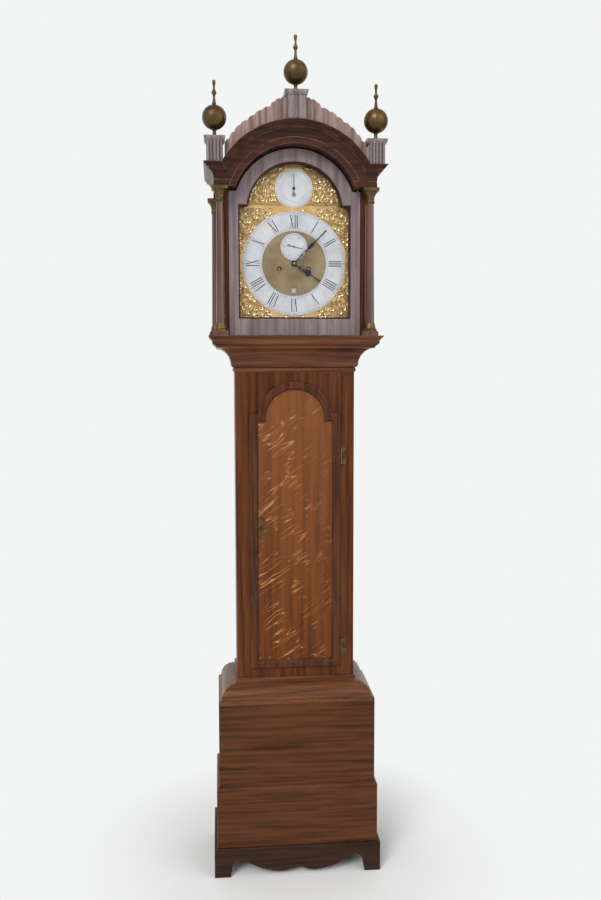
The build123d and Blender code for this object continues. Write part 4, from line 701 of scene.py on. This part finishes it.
# Roman figures: thick and thin strokes with their feet to the centre.
figure_vertices, figure_faces = [], []
FIGURE_FOOT, FIGURE_HEAD = 0.0955, 0.1295
THICK, THIN, SERIF = 0.0026, 0.0009, 0.0006
STROKE_INSET = 0.002
WIDTH = {"I": 0.0058, "V": 0.0125, "X": 0.0125}
HOURS = ("XII", "I", "II", "III", "IIII", "V", "VI", "VII", "VIII", "IX", "X", "XI")
for hour, figure in enumerate(HOURS):
    turn = -hour * pi / 6
    along = -sum(WIDTH[letter] for letter in figure) / 2
    strokes = []
    for letter in figure:
        half = WIDTH[letter] / 2
        middle = along + half
        left, right = middle - half + STROKE_INSET, middle + half - STROKE_INSET
        if letter == "I":
            strokes.append(((middle, FIGURE_FOOT), (middle, FIGURE_HEAD), THICK))
        elif letter == "V":
            strokes.append(((middle, FIGURE_FOOT), (left, FIGURE_HEAD), THICK))
            strokes.append(((middle, FIGURE_FOOT), (right, FIGURE_HEAD), THIN))
        else:
            strokes.append(((right, FIGURE_FOOT), (left, FIGURE_HEAD), THICK))
            strokes.append(((left, FIGURE_FOOT), (right, FIGURE_HEAD), THIN))
        for level in (FIGURE_FOOT, FIGURE_HEAD):
            strokes.append(((middle - half + SERIF, level), (middle + half - SERIF, level), SERIF))
        along += WIDTH[letter]
    for (u0, v0), (u1, v1), width in strokes:
        run = Vector((u1 - u0, v1 - v0)).normalized() * width / 2
        corners = []
        for u, v in (
            (u0 - run.y, v0 + run.x),
            (u0 + run.y, v0 - run.x),
            (u1 + run.y, v1 - run.x),
            (u1 - run.y, v1 + run.x),
        ):
            corners.append((u * cos(turn) - v * sin(turn), HANDS_Z + u * sin(turn) + v * cos(turn)))
        slab(figure_vertices, figure_faces, corners, RING_FACE - WAX_DEPTH, RING_FACE)
figures = from_faces("hour_figures", figure_vertices, figure_faces, wax)
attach(figures, "case")

# Division marks: the minutes, every fifth minute, the quarter hours, the seconds and every tenth
# second, all ruled on a dividing plate, so each row is one count, radius, length and width.
marks = bpy.data.node_groups.new("Division marks", "GeometryNodeTree")
given, result = sockets(
    marks,
    [
        ("Count", "NodeSocketInt", 60),
        ("Radius", "NodeSocketFloat", 0.13),
        ("Length", "NodeSocketFloat", 0.004),
        ("Width", "NodeSocketFloat", 0.0004),
        ("Depth", "NodeSocketFloat", WAX_DEPTH),
        ("Place", "NodeSocketVector", (0, 0, 0)),
        ("Ink", "NodeSocketMaterial", wax),
    ],
    [("Geometry", "NodeSocketGeometry")],
)


def node(kind, **inputs):
    """A node of the tree of marks, with its inputs linked or set."""
    made = marks.nodes.new(kind)
    for name, value in inputs.items():
        socket = made.inputs[name.replace("_", " ")]
        if isinstance(value, bpy.types.NodeSocket):
            marks.links.new(value, socket)
        else:
            socket.default_value = value
    return made


asked = given.outputs
round_row = node("GeometryNodeMeshCircle", Vertices=asked["Count"], Radius=asked["Radius"])
where = node("GeometryNodeInputPosition")
aimed = node("FunctionNodeAlignRotationToVector", Vector=where.outputs[0])
aimed.axis = "X"
aimed.pivot_axis = "Z"
size = node("ShaderNodeCombineXYZ", X=asked["Length"], Y=asked["Width"], Z=asked["Depth"])
tick = node("GeometryNodeMeshCube", Size=size.outputs[0])
row = node(
    "GeometryNodeInstanceOnPoints",
    Points=round_row.outputs[0],
    Instance=tick.outputs[0],
    Rotation=aimed.outputs[0],
)
stood = node(
    "GeometryNodeTransform",
    Geometry=row.outputs[0],
    Translation=asked["Place"],
    Rotation=(pi / 2, 0, 0),
)
solid = node("GeometryNodeRealizeInstances", Geometry=stood.outputs[0])
inked = node("GeometryNodeSetMaterial", Geometry=solid.outputs[0], Material=asked["Ink"])
marks.links.new(inked.outputs[0], result.inputs[0])


def grown(name, tree, values):
    """The mesh that a tree makes with these values."""
    holder = bpy.data.objects.new("holder", bpy.data.meshes.new("holder"))
    modifier = holder.modifiers.new("made", "NODES")
    modifier.node_group = tree
    for item in tree.interface.items_tree:
        if item.in_out == "INPUT" and item.name in values:
            modifier[item.identifier] = values[item.name]
    return settled(name, holder)


for name, count, radius, length, width, height in (
    ("minute_marks", 60, 0.1362, 0.0042, 0.0005, HANDS_Z),
    ("five_minute_marks", 12, 0.1362, 0.0042, 0.0016, HANDS_Z),
    ("quarter_marks", 48, 0.0915, 0.0036, 0.0005, HANDS_Z),
    ("seconds_marks", 60, 0.0320, 0.0028, 0.00035, SECONDS_Z),
    ("ten_seconds_marks", 6, 0.0255, 0.0050, 0.0011, SECONDS_Z),
):
    made = grown(
        name,
        marks,
        {
            "Count": count,
            "Radius": radius,
            "Length": length,
            "Width": width,
            "Depth": WAX_DEPTH,
            "Place": (0.0, RING_FACE - WAX_DEPTH / 2, height),
            "Ink": wax,
        },
    )
    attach(made, "case")

# Ruled circles that bound the rows of marks.
circle_vertices, circle_faces = [], []
CIRCLE_STEPS = 96
for radius, line, height in (
    (0.1385, 0.0004, HANDS_Z),
    (0.1340, 0.0004, HANDS_Z),
    (0.0936, 0.00035, HANDS_Z),
    (0.0897, 0.00035, HANDS_Z),
    (0.0334, 0.0003, SECONDS_Z),
    (0.0306, 0.0003, SECONDS_Z),
    (0.0485, 0.0004, DISC_Z),
    (0.0350, 0.0003, DISC_Z),
):
    for step in range(CIRCLE_STEPS):
        a, b = 2 * pi * step / CIRCLE_STEPS, 2 * pi * (step + 1) / CIRCLE_STEPS
        inner, outer = radius - line / 2, radius + line / 2
        corners = [
            (inner * cos(a), height + inner * sin(a)),
            (outer * cos(a), height + outer * sin(a)),
            (outer * cos(b), height + outer * sin(b)),
            (inner * cos(b), height + inner * sin(b)),
        ]
        slab(circle_vertices, circle_faces, corners, RING_FACE - WAX_DEPTH, RING_FACE)
circles = from_faces("ruled_circles", circle_vertices, circle_faces, wax)
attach(circles, "case")

# Spandrels: cast and gilt brass leaf scrolls pinned in the dial's corners and beside the arch disc.
# The CAD nodes are their grounds; the scrolls in relief are tubes that taper along spirals.
gilt = metal_finish("gilt_brass", srgb(246, 226, 182), srgb(196, 160, 104), 0.2, 0.8, 140.0)
ground = metal_finish("gilt_ground", srgb(190, 160, 110), srgb(104, 78, 44), 0.38, 0.9, 160.0)
wear(ground, "spandrels")
SPANDREL_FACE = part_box("spandrels")[0].y
SQUARE = 0.1495
SQUARE_EDGE = 0.003
CORNER_GROUND_RADIUS = 0.1445
CORNER_CLEAR_RADIUS = 0.1412
ARCH_GROUND_RADIUS = 0.1185
DISC_GROUND_RADIUS = 0.0585
SPACING = 0.0085
LEAF = 0.0062
ARCH_LEAF = 0.0058
SMALLEST_LEAF = 0.002
rng = random.Random(7)
scroll_vertices, scroll_faces = [], []


def scroll(x, z, size, turn, hand):
    """One leaf scroll: a spiral tube that swells and tapers."""
    steps, ring = 16, 5
    turns_round, curl, thickest, sunk = 1.35, 0.85, 0.0011, 0.0004
    start = len(scroll_vertices)
    for step in range(steps + 1):
        t = step / steps
        angle = turn + hand * t * turns_round * 2 * pi
        reach = size * (1 - curl * t)
        centre = Vector((x + reach * cos(angle), 0, z + reach * sin(angle)))
        outward = Vector((cos(angle), 0, sin(angle)))
        thick = thickest * (0.35 + sin(pi * min(1.0, 0.15 + t)))
        for side in range(ring):
            around = 2 * pi * side / ring
            point = centre + outward * thick * cos(around)
            scroll_vertices.append((point.x, SPANDREL_FACE - sunk - thick * 1.2 * sin(around), point.z))
    for step in range(steps):
        for side in range(ring):
            a, b = start + step * ring + side, start + step * ring + (side + 1) % ring
            quad = (a, b, b + ring, a + ring)
            scroll_faces.append(quad if hand < 0 else quad[::-1])
    first = tuple(start + side for side in range(ring))
    last = tuple(start + steps * ring + side for side in range(ring))
    scroll_faces.append(first[::-1] if hand < 0 else first)
    scroll_faces.append(last if hand < 0 else last[::-1])


def in_corner(x, z):
    """Whether a point seen from the dial's middle lies on a corner's ground."""
    edge = SQUARE - SQUARE_EDGE
    return abs(x) < edge and abs(z) < edge and x * x + z * z > CORNER_GROUND_RADIUS**2


def apart(x, z, points):
    """Whether a point keeps its distance from all the others."""
    return all((x - a) ** 2 + (z - b) ** 2 > SPACING**2 for a, b in points)


corner_points = []
tries = 0
while len(corner_points) < 26 and tries < 6000:
    tries += 1
    x, z = rng.uniform(0.02, SQUARE), rng.uniform(0.02, SQUARE)
    if in_corner(x, z) and apart(x, z, corner_points):
        corner_points.append((x, z))
for x, z in corner_points:
    size = min(LEAF, SQUARE + 0.001 - max(x, z), (x * x + z * z) ** 0.5 - CORNER_CLEAR_RADIUS)
    turn = rng.uniform(0, 2 * pi)
    for side_x, side_z in ((1, 1), (-1, 1), (1, -1), (-1, -1)):
        angle = turn if side_x > 0 else pi - turn
        angle = angle if side_z > 0 else -angle
        scroll(side_x * x, HANDS_Z + side_z * z, max(size, SMALLEST_LEAF), angle, side_x * side_z)
arch_points = []
tries = 0
while len(arch_points) < 34 and tries < 8000:
    tries += 1
    x, z = rng.uniform(0.03, 0.125), rng.uniform(1.862, 1.965)
    off_disc = x * x + (z - DISC_Z) ** 2 > DISC_GROUND_RADIUS**2
    in_arch = x * x + (z - SHOULDER_Z) ** 2 < ARCH_GROUND_RADIUS**2
    if off_disc and in_arch and apart(x, z, arch_points):
        arch_points.append((x, z))
for x, z in arch_points:
    turn = rng.uniform(0, 2 * pi)
    for side in (1, -1):
        scroll(side * x, z, ARCH_LEAF, turn if side > 0 else pi - turn, side)
scrolls = from_faces("spandrel_scrolls", scroll_vertices, scroll_faces, gilt)
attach(scrolls, "case")

# Collets round the two winding holes, turned in brass and blackened with use.
collar_vertices, collar_faces = [], []
DIAL_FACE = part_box("dial_plate")[0].y
WINDING_X, WINDING_Z = 0.040, 1.6804
steps = 40
profile = ((0.0036, 0.0), (0.0036, 0.0009), (0.0043, 0.0013), (0.0056, 0.0009), (0.0062, 0.0))
rows = len(profile)
for side in (-1, 1):
    start = len(collar_vertices)
    for step in range(steps):
        angle = 2 * pi * step / steps
        for reach, proud in profile:
            collar_vertices.append(
                (side * WINDING_X + reach * cos(angle), DIAL_FACE - proud, WINDING_Z + reach * sin(angle))
            )
    for step in range(steps):
        for at in range(rows):
            a, b = step * rows + at, step * rows + (at + 1) % rows
            c, d = (step + 1) % steps * rows + (at + 1) % rows, (step + 1) % steps * rows + at
            collar_faces.append((start + a, start + b, start + c, start + d))
black_brass = metal_finish("brass_blackened", srgb(66, 58, 46), srgb(34, 30, 26), 0.4, 0.9)
collets = from_faces("winding_collets", collar_vertices, collar_faces, black_brass)
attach(collets, "case")

# Hands: filed from steel and blued over charcoal.
blued = metal_finish("steel_blued", srgb(56, 58, 72), srgb(38, 38, 48), 0.28, 0.7)
wear(blued, "minute_hand", "hour_hand", "seconds_hand", "strike_silent_hand")

# The movement: cast and hammered brass plates and wheels, steel arbors and pallets, a bell-metal
# bell, brass-cased lead weights and a brass-faced pendulum bob.
movement_brass = metal_finish("brass_movement", srgb(196, 162, 98), srgb(140, 108, 60), 0.24, 0.5)
wear(
    movement_brass,
    "front_plate",
    "back_plate",
    "back_cock",
    "going_great_wheel",
    "centre_wheel",
    "third_wheel",
    "escape_wheel",
    "cannon_wheel",
    "minute_wheel",
    "hour_wheel",
    "strike_great_wheel",
    "pin_wheel",
    "gathering_wheel",
    "going_barrel",
    "strike_barrel",
    "fly",
)
bell_metal = metal_finish("bell_metal", srgb(190, 170, 128), srgb(132, 112, 78), 0.2, 0.5)
wear(bell_metal, "bell")
wear(bolt_steel, "anchor", "hammer")
wear(polished_brass, "going_weight", "strike_weight", "pendulum")
